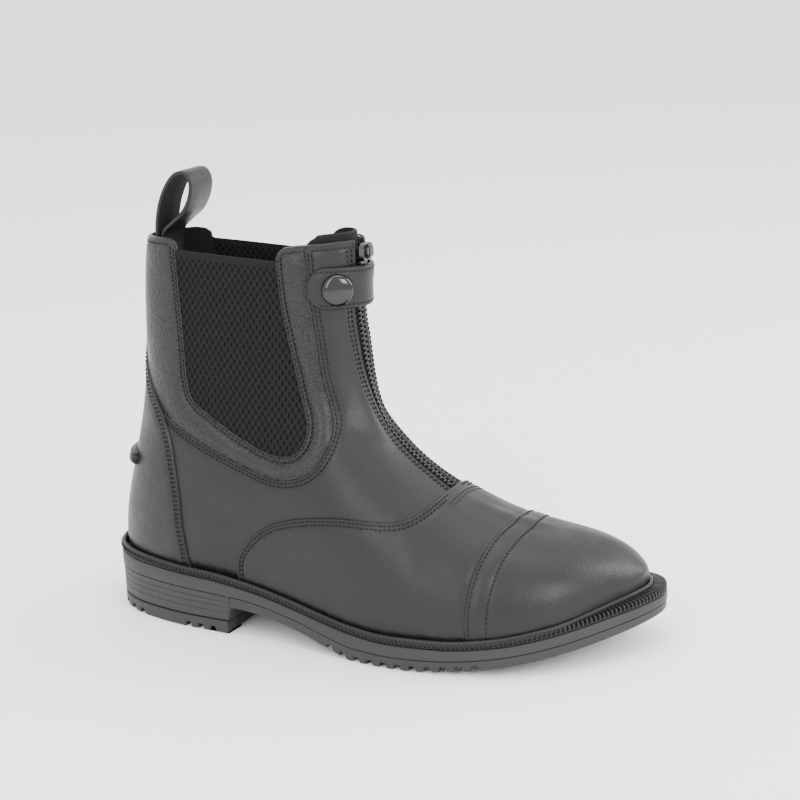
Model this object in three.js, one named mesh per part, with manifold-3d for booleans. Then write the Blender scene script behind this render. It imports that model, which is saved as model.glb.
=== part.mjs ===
import * as THREE from 'three';
import Module from 'manifold-3d';

// Ankle boot with a front zip and elastic side panels, right foot, millimetres, Z up.
// X runs from the back of the heel to the toe, Y to the inner side of the foot.
// Tables count X from the back edge of the heel; the part's origin is the middle of the
// heel's tread on the floor, ORIGIN_X further on.

// Overall sizes
const SOLE_LENGTH = 280;
const ORIGIN_X = 40;
const WALL = 2.2;
const GAP = 0.3;

// Sole sizes
const HEEL_BREAST_X = 80;
const HEEL_LIFT_HEIGHT = 6.5;
const TOE_SPRING = 16.8;
const BALL_X = 172;
const SPRING_POWER = 1.8;
const SIDE_LINE_DEPTH = 0.8;
const LUG_DEPTH = 1.6;
const WELT_HEIGHT = 3.0;
const WELT_LEDGE = 4.2;
const BEAD_RADIUS = 1.1;

// Thickness of the leather layers above the base form
const QUARTER_RISE = 1.1;
const OVERLAY_THICK = 1.2;
const CAP_THICK = 1.6;

// Zip, strap and loop sizes
const ZIP_SLOT = 8.4;
const ZIP_TEETH = 5.6;
const STRAP_HEIGHT = 19.6;
const SNAP_DIAMETER = 15;
const LOOP_WIDTH = 19;
const LOOP_THICK = 2.0;

// columns: distance from heel, outer edge, inner edge of the sole seen from above
const SOLE_EDGE = [
  [0.3, -4.1, 4.5], [6.9, -18.9, 18.5], [19.9, -28.5, 28], [35.4, -33.6, 32.4],
  [51.3, -36.7, 34], [67.5, -38.1, 33.9], [83.7, -38.7, 32.2], [100, -39.5, 30.4],
  [116.1, -41.6, 29.6], [132.1, -44.2, 30.6], [148.1, -46.6, 34], [164.2, -48.4, 39.8],
  [180.4, -48.6, 46], [196.6, -46.6, 51], [212.7, -43.2, 54.6], [228.6, -37.7, 56.4],
  [243.3, -28.9, 56], [255.9, -17.6, 53], [266.7, -4.6, 47.4], [275.5, 9, 38.6],
];

// columns: distance from heel, height of the sole's upper face, height of its waist underside
const SOLE_LEVEL = [
  [0, 29, 0], [30, 28.2, 0], [70, 26.8, 13.4], [84, 25.2, 13.4], [118, 19.6, 9],
  [138, 15.8, 3.4], [152, 13.6, 0], [170, 12.2, 0], [196, 12.2, 0], [218, 13.9, 0],
  [245, 18.4, 0], [265, 22.8, 0], [280, 25.4, 0],
];

// columns: height above the floor, back of the shaft, front of the shaft, half width,
// roundness of the back and of the front (2 is an ellipse, more is squarer)
const SHAFT = [
  [5, 14, 112, 25, 2.2, 2.1], [30, 9.6, 122, 28, 2.2, 2.1], [45, 9.2, 130, 30, 2.2, 2.1],
  [60, 11.2, 136, 31.2, 2.2, 2.1], [75, 14.2, 140, 31.4, 2.2, 2.1],
  [90, 18, 142, 31, 2.25, 2.15],
  [105, 22, 143, 30, 2.35, 2.2], [125, 25.2, 142.4, 27.6, 2.6, 2.4],
  [150, 26, 141.4, 23.4, 3, 2.6], [190, 27, 142, 18, 3.3, 2.8], [225, 28, 143, 15, 3.4, 2.8],
];

// columns: distance from heel, top of the foot along its ridge, ridge offset to the inner side,
// width over which the side rounds into the top, bulge of the side wall
const FOOT_TOP = [
  [0, 70, 0, 30, 0.6], [60, 112, 0, 31, 0.8], [100, 122, 1, 31, 1], [130, 113, 2, 33, 1.2],
  [150, 100, 4, 36, 1.4], [166, 86.6, 6, 39, 1.6], [183, 73.8, 8, 41, 1.8],
  [203, 61.6, 10, 40, 1.8], [220, 55.2, 12, 37, 1.6], [240, 50.4, 15, 34, 1.4],
  [255, 46.4, 18, 30, 1.2], [270, 41.6, 21, 27, 1], [285, 39, 22, 26, 1],
];

// columns: distance along the boot, height, of the edges of the side panels seen from the side
const GUSSET_EDGE = [
  [50.2, 206], [50.8, 185], [53, 165], [56, 142], [58, 125], [61, 115], [73, 107], [88, 98.6],
  [101, 93.2], [111, 91.6], [118.4, 93.8], [122.6, 99.4], [123, 106], [119.6, 117],
  [116.4, 130], [112.6, 145.4], [108.8, 161], [106.8, 174], [106, 182], [105.4, 206],
];
const BAND_EDGE = [
  [120.6, 206], [121, 189], [122.2, 176], [124, 162], [126.2, 145], [129, 127], [132.8, 114],
  [135.4, 105.4], [135, 97.4], [131.2, 89.6], [125.4, 84.4], [117, 81.2], [106.6, 80.4],
  [93, 84], [78, 89.4], [62, 96], [47, 103], [33, 111], [8, 128],
];
const COUNTER_EDGE = [
  [27.4, 141], [29.4, 130], [34, 118.6], [43.6, 104.6], [48.8, 92.4], [51.6, 80], [53.8, 68],
  [55.4, 50], [58, 33], [60.4, 14],
];
const VAMP_EDGE = [
  [87, 8], [86, 30], [86.8, 39.6], [93, 49], [104, 57.6], [116, 62.2], [131, 65.4], [145, 66.6],
  [159, 66.2], [170, 66], [177, 67.4], [181.6, 70.6], [184.6, 75], [186, 81], [186.4, 92],
];
// columns: distance across the foot, distance along the boot, of the cap's rear edge from above
const CAP_EDGE = [
  [-70, 201], [-52, 204.5], [-43, 206.4], [-33, 208.2], [-22, 210], [-10, 211.4], [4, 212.4],
  [16, 212], [28, 210.2], [40, 207.2], [52, 203.8], [62, 200.6], [80, 196],
];
// columns: distance along the boot, height, of the pull loop's centre line
const LOOP_LINE = [
  [35.4, 172], [35.4, 184], [35.6, 190], [36.4, 197], [38.8, 205.6], [43.6, 214.4],
  [49, 219.2], [54, 219.2], [56.4, 215.4], [55.6, 208.6], [51.4, 201], [44.6, 195.4],
  [39.8, 191.2], [38.1, 186], [38, 180], [38, 172],
];

// Resolution
const STATIONS = 29;
const AROUND = 26;
const SPREAD = 0.66;

const wasm = await Module();
wasm.setup();
const { Manifold, Mesh } = wasm;

const clamp = (t, a, b) => Math.min(b, Math.max(a, t));
const mix = (a, b, t) => a + (b - a) * t;
const smooth = (a, b, t) => {
  const s = clamp((t - a) / (b - a), 0, 1);
  return s * s * (3 - 2 * s);
};

// monotone cubic through a table's first column
function column(table, index) {
  const n = table.length;
  const x = table.map((r) => r[0]);
  const y = table.map((r) => r[index]);
  const slope = [];
  for (let i = 0; i < n - 1; i += 1) slope.push((y[i + 1] - y[i]) / (x[i + 1] - x[i]));
  const m = [slope[0]];
  for (let i = 1; i < n - 1; i += 1) {
    const a = slope[i - 1];
    const b = slope[i];
    m.push(a * b <= 0 ? 0 : (2 * a * b) / (a + b));
  }
  m.push(slope[n - 2]);
  return (t) => {
    if (t <= x[0]) return y[0] + m[0] * (t - x[0]);
    if (t >= x[n - 1]) return y[n - 1] + m[n - 1] * (t - x[n - 1]);
    let i = 0;
    while (t > x[i + 1]) i += 1;
    const h = x[i + 1] - x[i];
    const s = (t - x[i]) / h;
    const s2 = s * s;
    const s3 = s2 * s;
    return y[i] * (2 * s3 - 3 * s2 + 1) + m[i] * h * (s3 - 2 * s2 + s)
      + y[i + 1] * (3 * s2 - 2 * s3) + m[i + 1] * h * (s3 - s2);
  };
}

// Sole outline as a closed smooth curve
const outer = SOLE_EDGE.map((r) => new THREE.Vector3(r[0], r[1], 0));
const inner = SOLE_EDGE.map((r) => new THREE.Vector3(r[0], r[2], 0)).reverse();
const nose = [new THREE.Vector3(SOLE_LENGTH, 23.5, 0)];
const soleCurve = new THREE.CatmullRomCurve3([...outer, ...nose, ...inner], true, 'centripetal');
const FINE = 220;
const edgePoints = soleCurve.getSpacedPoints(FINE).slice(0, FINE).map((p) => [p.x, p.y]);

// signed distance to the outline, negative inside, and the local edge
function edgeDistance(x, y) {
  let best = 1e9;
  let inside = false;
  for (let i = 0; i < FINE; i += 1) {
    const a = edgePoints[i];
    const b = edgePoints[(i + 1) % FINE];
    const dx = b[0] - a[0];
    const dy = b[1] - a[1];
    const t = clamp(((x - a[0]) * dx + (y - a[1]) * dy) / (dx * dx + dy * dy), 0, 1);
    const ex = x - a[0] - t * dx;
    const ey = y - a[1] - t * dy;
    best = Math.min(best, ex * ex + ey * ey);
    if ((a[1] > y) !== (b[1] > y) && x < a[0] + ((y - a[1]) / dy) * dx) inside = !inside;
  }
  return (inside ? -1 : 1) * Math.sqrt(best);
}

const soleTop = column(SOLE_LEVEL, 1);
const waistLevel = column(SOLE_LEVEL, 2);
const springAt = (x) => {
  const along = clamp((x - BALL_X) / (SOLE_LENGTH - BALL_X), 0, 1.2);
  return TOE_SPRING * along ** SPRING_POWER;
};
const shaftBack = column(SHAFT, 1);
const shaftFront = column(SHAFT, 2);
const shaftHalf = column(SHAFT, 3);
const backPower = column(SHAFT, 4);
const frontPower = column(SHAFT, 5);
const topAt = column(FOOT_TOP, 1);
const ridgeAt = column(FOOT_TOP, 2);
const roundAt = column(FOOT_TOP, 3);
const bulgeAt = column(FOOT_TOP, 4);

// the leather layers sit thicker over heel and toe, so the base form is set in a little there
const ledgeExtra = (x) => 1.4 * (1 - smooth(20, 60, x))
  + 1.2 * smooth(200, 250, x) + 6.2 * smooth(240, 272, x);

// foot: the sole outline set in by the ledge, rounding over into the top profile
function footField(x, y, z) {
  const g = edgeDistance(x, y) + WELT_LEDGE + ledgeExtra(x);
  const base = soleTop(x) + 9;
  const side = (y - ridgeAt(x)) / 45;
  // over the forefoot the inner side falls away faster than the outer side
  const fore = smooth(140, 185, x);
  const fall = mix(1.5, side > 0 ? 9 : 1.5, fore);
  const top = topAt(x) + 3 * (1 - fore) * side - fall * side * side;
  const bulge = bulgeAt(x);
  if (z < base) {
    const b = (base - z) / 20;
    return g + bulge * b * b * 2;
  }
  const b = clamp((z - base) / (top - base), 0, 1.6);
  if (b >= 1) return g + roundAt(x) + (b - 1) * 60;
  const r = roundAt(x);
  return g + r * (1 - (1 - b ** 2.1) ** (1 / 2.35));
}

// shaft: level sections from the back seam to the front
function shaftField(x, y, z) {
  const a = shaftBack(z);
  const b = shaftFront(z);
  const half = shaftHalf(z);
  const u = (x - (a + b) / 2) / ((b - a) / 2);
  const v = y / half;
  const n = u < 0 ? backPower(z) : frontPower(z);
  const r = (Math.abs(u) ** n + Math.abs(v) ** n) ** (1 / n);
  return (r - 1) * mix(half, (b - a) / 2, Math.abs(u) / (Math.abs(u) + Math.abs(v) + 1e-6));
}

function softMin(a, b, k) {
  const h = clamp(0.5 + (0.5 * (b - a)) / k, 0, 1);
  return mix(b, a, h) - k * h * (1 - h);
}

// the last: foot and shaft melted together, softer in front than behind
function lastField(x, y, z) {
  const k = mix(7, 34, smooth(90, 150, x));
  const f = softMin(footField(x, y, z), shaftField(x, y, z), k);
  const floor = soleTop(x) - 20 - z;
  return Math.max(f, floor);
}

function lastNormal(x, y, z) {
  const e = 0.6;
  const n = new THREE.Vector3(
    lastField(x + e, y, z) - lastField(x - e, y, z),
    lastField(x, y + e, z) - lastField(x, y - e, z),
    lastField(x, y, z + e) - lastField(x, y, z - e),
  );
  return n.normalize();
}

// Fan of section planes: upright at the toe, turning level at the collar
const PIVOT_X = 200;
const PIVOT_Z = 222;
const stations = [];
let toeEnd = SOLE_LENGTH;
while (lastField(toeEnd, ridgeAt(toeEnd), soleTop(toeEnd) + 6) > -0.2) toeEnd -= 0.1;
const uprightCount = 11;
for (let i = 0; i < uprightCount; i += 1) {
  const t = i / uprightCount;
  stations.push({ x: toeEnd - (toeEnd - PIVOT_X) * t ** 1.5, turn: 90 });
}
for (let i = 0; i < STATIONS - uprightCount; i += 1) {
  const t = i / (STATIONS - uprightCount - 1);
  stations.push({ x: PIVOT_X, turn: 90 - 87 * t });
}

function sectionFrame(station) {
  const a = THREE.MathUtils.degToRad(station.turn);
  const dir = [-Math.cos(a), -Math.sin(a)];
  const at = (s) => [station.x + dir[0] * s, PIVOT_Z + dir[1] * s];
  let first = null;
  let last = null;
  for (let s = 0; s < 330; s += 0.5) {
    const [x, z] = at(s);
    const inside = lastField(x, x > 200 ? ridgeAt(x) : ridgeAt(x) * smooth(110, 200, x), z) < 0;
    if (inside && first === null) first = s;
    if (inside) last = s;
  }
  const mid = (first + last) / 2;
  const centre = at(mid);
  const y = ridgeAt(centre[0]) * smooth(110, 200, centre[0]);
  return { dir, x: centre[0], y, z: centre[1] };
}

const baseRings = stations.map((station) => {
  const f = sectionFrame(station);
  const ring = [];
  for (let j = 0; j < AROUND; j += 1) {
    const a = (2 * Math.PI * j) / AROUND;
    const l = Math.hypot(Math.cos(a), SPREAD * Math.sin(a));
    const up = Math.cos(a) / l;
    const out = (SPREAD * Math.sin(a)) / l;
    const d = [-f.dir[0] * up, out, -f.dir[1] * up];
    let lo = 0;
    let hi = 150;
    for (let k = 0; k < 26; k += 1) {
      const m = (lo + hi) / 2;
      if (lastField(f.x + d[0] * m, f.y + d[1] * m, f.z + d[2] * m) < 0) lo = m;
      else hi = m;
    }
    const p = new THREE.Vector3(f.x + d[0] * lo, f.y + d[1] * lo, f.z + d[2] * lo);
    ring.push({ p, n: lastNormal(p.x, p.y, p.z) });
  }
  return ring;
});

// closed triangle mesh from rings, with a fan at each end
function ringsToManifold(rings) {
  const count = rings[0].length;
  const verts = [];
  rings.forEach((ring) => ring.forEach((p) => verts.push(p.x, p.y, p.z)));
  const endPoint = (ring) => {
    const c = new THREE.Vector3();
    ring.forEach((p) => c.add(p));
    c.divideScalar(ring.length);
    verts.push(c.x, c.y, c.z);
    return verts.length / 3 - 1;
  };
  const a = endPoint(rings[0]);
  const b = endPoint(rings[rings.length - 1]);
  const tris = [];
  for (let i = 0; i < rings.length - 1; i += 1) {
    for (let j = 0; j < count; j += 1) {
      const k = (j + 1) % count;
      const p = i * count + j;
      const q = i * count + k;
      const r = (i + 1) * count + j;
      const s = (i + 1) * count + k;
      tris.push(p, r, q, q, r, s);
    }
  }
  const end = (rings.length - 1) * count;
  for (let j = 0; j < count; j += 1) {
    const k = (j + 1) % count;
    tris.push(a, j, k);
    tris.push(b, end + k, end + j);
  }
  return solid(verts, tris);
}

function solid(verts, tris) {
  const build = (list) => new Manifold(new Mesh({
    numProp: 3,
    vertProperties: new Float32Array(verts),
    triVerts: new Uint32Array(list),
  }));
  let m = build(tris);
  if (m.volume() < 0) {
    const flipped = [];
    for (let i = 0; i < tris.length; i += 3) flipped.push(tris[i], tris[i + 2], tris[i + 1]);
    m = build(flipped);
  }
  return m;
}

// body of the last moved along its own normals; shift is a number or a function of the point
const bodies = new Map();
function lastBody(shift) {
  if (bodies.has(shift)) return bodies.get(shift);
  const amount = typeof shift === 'number' ? () => shift : shift;
  const body = ringsToManifold(baseRings.map((ring) => ring.map(({ p, n }) => {
    const d = amount(p, n);
    return p.clone().addScaledVector(n, d);
  })));
  bodies.set(shift, body);
  return body;
}

// upright prism over a closed outline; place maps outline and depth to space
function prism(outline, lo, hi, place) {
  const n = outline.length;
  const verts = [];
  outline.forEach((p) => verts.push(...place(p[0], p[1], lo)));
  outline.forEach((p) => verts.push(...place(p[0], p[1], hi)));
  const shape = outline.map((p) => new THREE.Vector2(p[0], p[1]));
  const caps = THREE.ShapeUtils.triangulateShape(shape, []);
  const tris = [];
  caps.forEach(([a, b, c]) => {
    tris.push(a, b, c);
    tris.push(n + a, n + c, n + b);
  });
  const flip = THREE.ShapeUtils.area(shape) < 0;
  for (let i = 0; i < n; i += 1) {
    const j = (i + 1) % n;
    if (flip) tris.push(i, j, n + j, i, n + j, n + i);
    else tris.push(i, n + j, j, i, n + i, n + j);
  }
  return solid(verts, tris);
}
const sidePlace = (x, z, y) => [x, y, z];
const planPlace = (x, y, z) => [x, y, z];

function smoothLine(points, steps) {
  const curve = new THREE.CatmullRomCurve3(
    points.map((p) => new THREE.Vector3(p[0], p[1], 0)), false, 'centripetal');
  return curve.getPoints(steps).map((p) => [p.x, p.y]);
}

function offsetLine(points, distance) {
  return points.map((p, i) => {
    const a = points[Math.max(0, i - 1)];
    const b = points[Math.min(points.length - 1, i + 1)];
    const l = Math.hypot(b[0] - a[0], b[1] - a[1]);
    return [p[0] - ((b[1] - a[1]) / l) * distance, p[1] + ((b[0] - a[0]) / l) * distance];
  });
}

// Surfaces that trim the upper
// a height line along the sole; every layer shares the same stations, so gaps stay even
const SOLE_STEP = 8;
function alongSole(heightAt, from, to) {
  const line = [[from, heightAt(clamp(from, 0, SOLE_LENGTH))]];
  for (let x = Math.ceil((from + 1) / SOLE_STEP) * SOLE_STEP; x < to - 1; x += SOLE_STEP) {
    line.push([x, heightAt(clamp(x, 0, SOLE_LENGTH))]);
  }
  line.push([to, heightAt(clamp(to, 0, SOLE_LENGTH))]);
  return line;
}

// everything above the sole's upper face plus a lift
function aboveSole(lift) {
  const outline = alongSole((x) => soleTop(x) + lift, -12, SOLE_LENGTH + 12);
  outline.push([SOLE_LENGTH + 12, 260], [-12, 260]);
  return prism(outline, -90, 90, sidePlace);
}

// the collar seen from the side: level at the back, lower over the elastic, higher in front
const COLLAR_LINE = [
  [-20, 189], [30, 189], [43, 189.8], [47.6, 189.2], [50.4, 187.4], [51.6, 185], [80, 183.4],
  [106, 182], [107.4, 185.6], [110.4, 188], [116, 189], [124, 189.6], [136, 190.6],
  [148, 190.4], [190, 190],
];
function belowCollar(drop) {
  const outline = COLLAR_LINE.map((p) => [p[0], p[1] - drop]);
  outline.push([320, 190], [320, -20], [-20, -20]);
  return prism(outline, -90, 90, sidePlace);
}

const stack = (list) => list.reduce((a, b) => a.add(b));
const aboveFeather = aboveSole(GAP);
const underCollar = belowCollar(0);

const gussetLine = smoothLine(GUSSET_EDGE, 32);
const bandLine = smoothLine(BAND_EDGE, 32);
const counterLine = smoothLine(COUNTER_EDGE, 14);
const vampLine = smoothLine(VAMP_EDGE, 24);
const capLine = smoothLine(CAP_EDGE, 18);

// quarter: everything below and in front of the band's edge
const quarterOutline = [...bandLine, [-20, 134], [-20, -20], [330, -20], [330, 206]];
const quarterRegion = prism(quarterOutline, -90, 90, sidePlace);

// zip slot along the front ridge, from the vamp's point to the collar
const ZIP_FOOT_X = 184;
const ZIP_FOOT_Z = 75;
function slotRegion(width, lowX) {
  const outline = [
    [lowX, 3.4 + width * 0.12], [lowX - 3, 3.2 + width / 2], [160, 2.2 + width / 2],
    [142, width / 2], [120, width / 2], [120, -width / 2], [142, -width / 2],
    [160, 2.2 - width / 2], [lowX - 3, 3.2 - width / 2], [lowX, 3.2 - width * 0.12],
  ];
  return prism(outline, 40, 240, planPlace);
}

// The upper: one hollow shell
const baseBody = lastBody(0);
const innerBody = lastBody(-WALL);
const quarterBody = lastBody(QUARTER_RISE);
const gussetBoth = prism(gussetLine, -90, 90, sidePlace);
const slot = slotRegion(ZIP_SLOT, ZIP_FOOT_X);
let upperSolid = baseBody.add(quarterBody.intersect(quarterRegion));
upperSolid = upperSolid.subtract(innerBody).intersect(aboveFeather).intersect(underCollar);
upperSolid = upperSolid.subtract(gussetBoth).subtract(slot);

// Overlays
function overlay(low, high, regions, cuts) {
  let m = lastBody(high).subtract(lastBody(low));
  regions.forEach((r) => { m = m.intersect(r); });
  cuts.forEach((c) => { m = m.subtract(c); });
  return m;
}

const overlayLow = QUARTER_RISE + GAP;
const vampOutline = [...vampLine, [186.4, 120], [330, 120], [330, -20], [100, -20]];
const vampRegion = prism(vampOutline, -90, 90, sidePlace);
const capOutline = [...capLine.map((p) => [p[1], p[0]]), [330, 80], [330, -70]];
const capRegion = prism(capOutline, 0, 140, planPlace);
const capBack = [...capLine.map((p) => [p[1] - GAP, p[0]]), [330, 80], [330, -70]];
const capClear = prism(capBack, 0, 140, planPlace);
const aboveOverlay = aboveSole(GAP + 0.2);
const overlayHigh = overlayLow + OVERLAY_THICK;
const capHigh = overlayLow + CAP_THICK;
const vampSolid = overlay(overlayLow, overlayHigh, [vampRegion, aboveOverlay], [capClear]);
const capSolid = overlay(overlayLow, capHigh, [capRegion, aboveOverlay], []);
const counterOutline = [...counterLine, [-30, 16], [-30, 140]];
const counterRegion = prism(counterOutline, -90, 90, sidePlace);
const counterSolid = overlay(overlayLow, overlayHigh, [counterRegion, aboveOverlay], []);

// Elastic side panels set in the windows
function gussetSide(sign) {
  const edge = offsetLine(gussetLine, GAP);
  const region = prism(edge, sign > 0 ? 4 : -90, sign > 0 ? 90 : -4, sidePlace);
  return lastBody(-0.7).subtract(lastBody(-2.1)).intersect(region).intersect(belowCollar(0.6));
}
const gussetOuter = gussetSide(-1);
const gussetInner = gussetSide(1);

// Sole, welt and insole
const RING = 62;
const ringEdge = soleCurve.getSpacedPoints(RING).slice(0, RING).map((p) => [p.x, p.y]);
function edgeInset(distance) {
  return ringEdge.map((p, i) => {
    const a = ringEdge[(i + RING - 1) % RING];
    const b = ringEdge[(i + 1) % RING];
    const l = Math.hypot(b[0] - a[0], b[1] - a[1]);
    return [p[0] - ((b[1] - a[1]) / l) * distance, p[1] + ((b[0] - a[0]) / l) * distance];
  });
}
// underside of the sole: heel block, breast, waist, tread, toe spring
const under = (x) => Math.max(waistLevel(x), springAt(x));
function soleProfile(lowFn, highFn, from, to) {
  return [...alongSole(lowFn, from, to), ...alongSole(highFn, from, to).reverse()];
}
// the line along the middle of the side wall
const sideLine = (x) => mix(under(x), soleTop(x), x < HEEL_BREAST_X ? 0.72 : 0.5);
const across = (outline) => prism(outline, -90, 90, sidePlace);
const forepart = across(soleProfile(under, soleTop, HEEL_BREAST_X - 1, SOLE_LENGTH + 8));
const grooveTop = HEEL_LIFT_HEIGHT + GAP / 2;
const heelTop = across(soleProfile(() => grooveTop, soleTop, -8, HEEL_BREAST_X - 0.4));
// the heel's front face curves into the waist
const breastFill = across([
  [HEEL_BREAST_X - 0.4, grooveTop], [HEEL_BREAST_X, 11], [HEEL_BREAST_X + 1.6, 13.4],
  [HEEL_BREAST_X + 3.6, 14], [HEEL_BREAST_X + 3.6, 17], [HEEL_BREAST_X - 3, 17],
  [HEEL_BREAST_X - 3, grooveTop],
]);
const aboveTop = (x) => soleTop(x) + 2;
const upperLayer = across(soleProfile(sideLine, aboveTop, -10, SOLE_LENGTH + 10));
const fullPlan = prism(edgeInset(0), -10, 80, planPlace);
const stepPlan = prism(edgeInset(SIDE_LINE_DEPTH), -10, 80, planPlace);
const soleSide = forepart.add(heelTop).add(breastFill);
let soleSolid = soleSide.intersect(fullPlan.intersect(upperLayer).add(stepPlan));

// tread notches: columns are distance from heel and width along the boot
const TREAD_NOTCH = [
  [139, 2.6], [146.4, 3], [153.8, 3], [161.2, 3], [168.6, 3], [176, 3], [183.4, 3], [190.8, 3],
  [198.2, 3], [205.6, 2.8], [213, 2.6],
];
const HEEL_NOTCH = [[9, 2.8], [16.5, 3], [24, 3], [55.5, 3], [63, 3], [70.5, 3]];
const NOTCH_REACH = 13;
function notch(x, width, side, height) {
  const probe = (dy) => edgeDistance(x, dy);
  let y = 0;
  while (probe(side * y) < -NOTCH_REACH) y += 0.5;
  const a = side * y;
  const b = side * 80;
  const level = under(x) + height;
  return prism([[x - width / 2, Math.min(a, b)], [x + width / 2, Math.min(a, b)],
    [x + width / 2, Math.max(a, b)], [x - width / 2, Math.max(a, b)]], -5, level, planPlace);
}
function notches(table, height) {
  return stack(table.flatMap(([x, w]) => [notch(x, w, -1, height), notch(x, w, 1, height)]));
}
soleSolid = soleSolid.subtract(notches(TREAD_NOTCH, LUG_DEPTH));

const liftTop = HEEL_LIFT_HEIGHT - GAP / 2;
const liftProfile = [
  [-10, 0], [HEEL_BREAST_X - 0.6, 0], [HEEL_BREAST_X - 0.4, liftTop], [-10, liftTop],
];
let liftSolid = stepPlan.intersect(across(liftProfile));
liftSolid = liftSolid.subtract(notches(HEEL_NOTCH, LUG_DEPTH + GAP));

function slab(low, high) {
  const lowFn = (x) => soleTop(x) + low;
  const highFn = (x) => soleTop(x) + high;
  return across(soleProfile(lowFn, highFn, -20, SOLE_LENGTH + 20));
}
const weltPlan = prism(edgeInset(0.1), -10, 80, planPlace);
const beadBody = lastBody(capHigh + GAP + BEAD_RADIUS);
let weltSolid = weltPlan.intersect(slab(GAP, GAP + WELT_HEIGHT));
weltSolid = weltSolid.add(beadBody.intersect(slab(GAP + 0.5, GAP + WELT_HEIGHT + 1.3)));
weltSolid = weltSolid.subtract(lastBody(capHigh + GAP));
const insoleSolid = lastBody(-WALL - GAP).intersect(slab(GAP, GAP + 2.6));

// Front closure
// point of the base form in front of the shaft's axis, at a height and an angle from straight ahead
const AXIS_X = 90;
function skinPoint(height, angle) {
  const c = Math.cos(angle);
  const s = Math.sin(angle);
  let lo = 0;
  let hi = 140;
  for (let k = 0; k < 30; k += 1) {
    const m = (lo + hi) / 2;
    if (lastField(AXIS_X + c * m, s * m, height) < 0) lo = m;
    else hi = m;
  }
  const p = new THREE.Vector3(AXIS_X + c * lo, s * lo, height);
  return { p, n: lastNormal(p.x, p.y, p.z) };
}
// maps side, up and outward distances at a point of the surface
function surfaceFrame(point) {
  const n = point.n;
  const side = new THREE.Vector3(0, 0, 1).cross(n).normalize();
  const up = n.clone().cross(side).normalize();
  return (u, v, w) => {
    const q = point.p.clone().addScaledVector(side, u);
    q.addScaledVector(up, v).addScaledVector(n, w);
    return [q.x, q.y, q.z];
  };
}
const front = (z) => skinPoint(z, 0);

const zipBed = slotRegion(ZIP_SLOT - 2 * GAP, ZIP_FOOT_X - 0.5);
const zipChain = slotRegion(ZIP_TEETH, ZIP_FOOT_X - 1);
const zipTop = belowCollar(4);
const teethSolid = lastBody(0.9).subtract(lastBody(-0.6)).intersect(zipChain);
let zipSolid = lastBody(-0.2).subtract(lastBody(-1.6)).intersect(zipBed);
zipSolid = zipSolid.add(teethSolid).intersect(zipTop);

// inner flap behind the zip, with a rounded top standing above the collar
const FLAP_EDGE = [
  [124, 138], [119.6, 160], [118.6, 182], [120, 188], [123.4, 191.6], [129, 193.6],
  [136, 194.2], [150, 193.4], [190, 193], [190, 76], [166, 76], [142, 100],
];
const flapRegion = prism(FLAP_EDGE, -90, 90, sidePlace);
const flapSide = -WALL - GAP;
const flapSolid = lastBody(flapSide).subtract(lastBody(flapSide - 1.5)).intersect(flapRegion);

// slider body, its bridge and the pull tab under the strap
function roundedOutline(w, h, r, steps = 4) {
  const list = [];
  [[w / 2 - r, h / 2 - r, 0], [-w / 2 + r, h / 2 - r, 1], [-w / 2 + r, -h / 2 + r, 2],
    [w / 2 - r, -h / 2 + r, 3]].forEach(([cx, cy, q]) => {
    for (let i = 0; i <= steps; i += 1) {
      const a = (q + i / steps) * (Math.PI / 2);
      list.push([cx + r * Math.cos(a), cy + r * Math.sin(a)]);
    }
  });
  return list;
}
const sliderAt = surfaceFrame(front(184.8));
const alongZip = (v, w, u) => sliderAt(u, v, w);
const bridgeShape = [[-3.2, 3.4], [3.4, 3.4], [3.4, 4.2], [2.2, 5.8], [-2, 5.8], [-3.2, 4.2]];
const bridgeHole = [[-1.9, 3.7], [2, 3.7], [2, 4.8], [-1.9, 4.8]];
let sliderSolid = prism(roundedOutline(9.2, 8, 2.4), 1.3, 3.7, sliderAt);
sliderSolid = sliderSolid.add(prism(bridgeShape, -1.5, 1.5, alongZip));
sliderSolid = sliderSolid.subtract(prism(bridgeHole, -3, 3, alongZip));

const PULL_LOW = 1.9;
const PULL_THICK = 1.1;
const pullPlace = (y, z, x) => [150 + x, y, z + 171.6];
const pullRegion = prism(roundedOutline(6.4, 20, 2), -20, 20, pullPlace);
const sliderRoom = prism(roundedOutline(9.8, 8.6, 2.6), 0.9, 20, sliderAt);
let pullSolid = lastBody(PULL_LOW + PULL_THICK).subtract(lastBody(PULL_LOW));
pullSolid = pullSolid.intersect(pullRegion).subtract(sliderRoom);

// snap strap over the zip: close to the leather at the sides, lifted over the pull tab
const strapLift = (low) => (p) => low + 2.3 * Math.exp(-((p.y / 8.5) ** 2));
const STRAP_THICK = 1.8;
const STRAP_LOW_Z = 159.6;
const STRAP_END_X = 122.8;
const strapCurve = [];
for (let i = 0; i <= 12; i += 1) {
  const a = Math.PI / 2 + (Math.PI * i) / 12;
  strapCurve.push([STRAP_END_X + STRAP_HEIGHT / 2.4 + (STRAP_HEIGHT / 2.4) * Math.cos(a),
    STRAP_LOW_Z + STRAP_HEIGHT / 2 + (STRAP_HEIGHT / 2) * Math.sin(a)]);
}
strapCurve.push([170, STRAP_LOW_Z], [170, STRAP_LOW_Z + STRAP_HEIGHT]);
const strapOuterSide = prism(strapCurve, -60, 0.5, sidePlace);
const strapTopZ = STRAP_LOW_Z + STRAP_HEIGHT;
const strapInner = [[120, STRAP_LOW_Z], [170, STRAP_LOW_Z], [170, strapTopZ], [120, strapTopZ]];
const strapInnerSide = prism(strapInner, 0, 60, sidePlace);
const strapHigh = strapLift(overlayLow + STRAP_THICK);
let strapSolid = lastBody(strapHigh).subtract(lastBody(strapLift(overlayLow)));
strapSolid = strapSolid.intersect(strapOuterSide.add(strapInnerSide));

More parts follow.
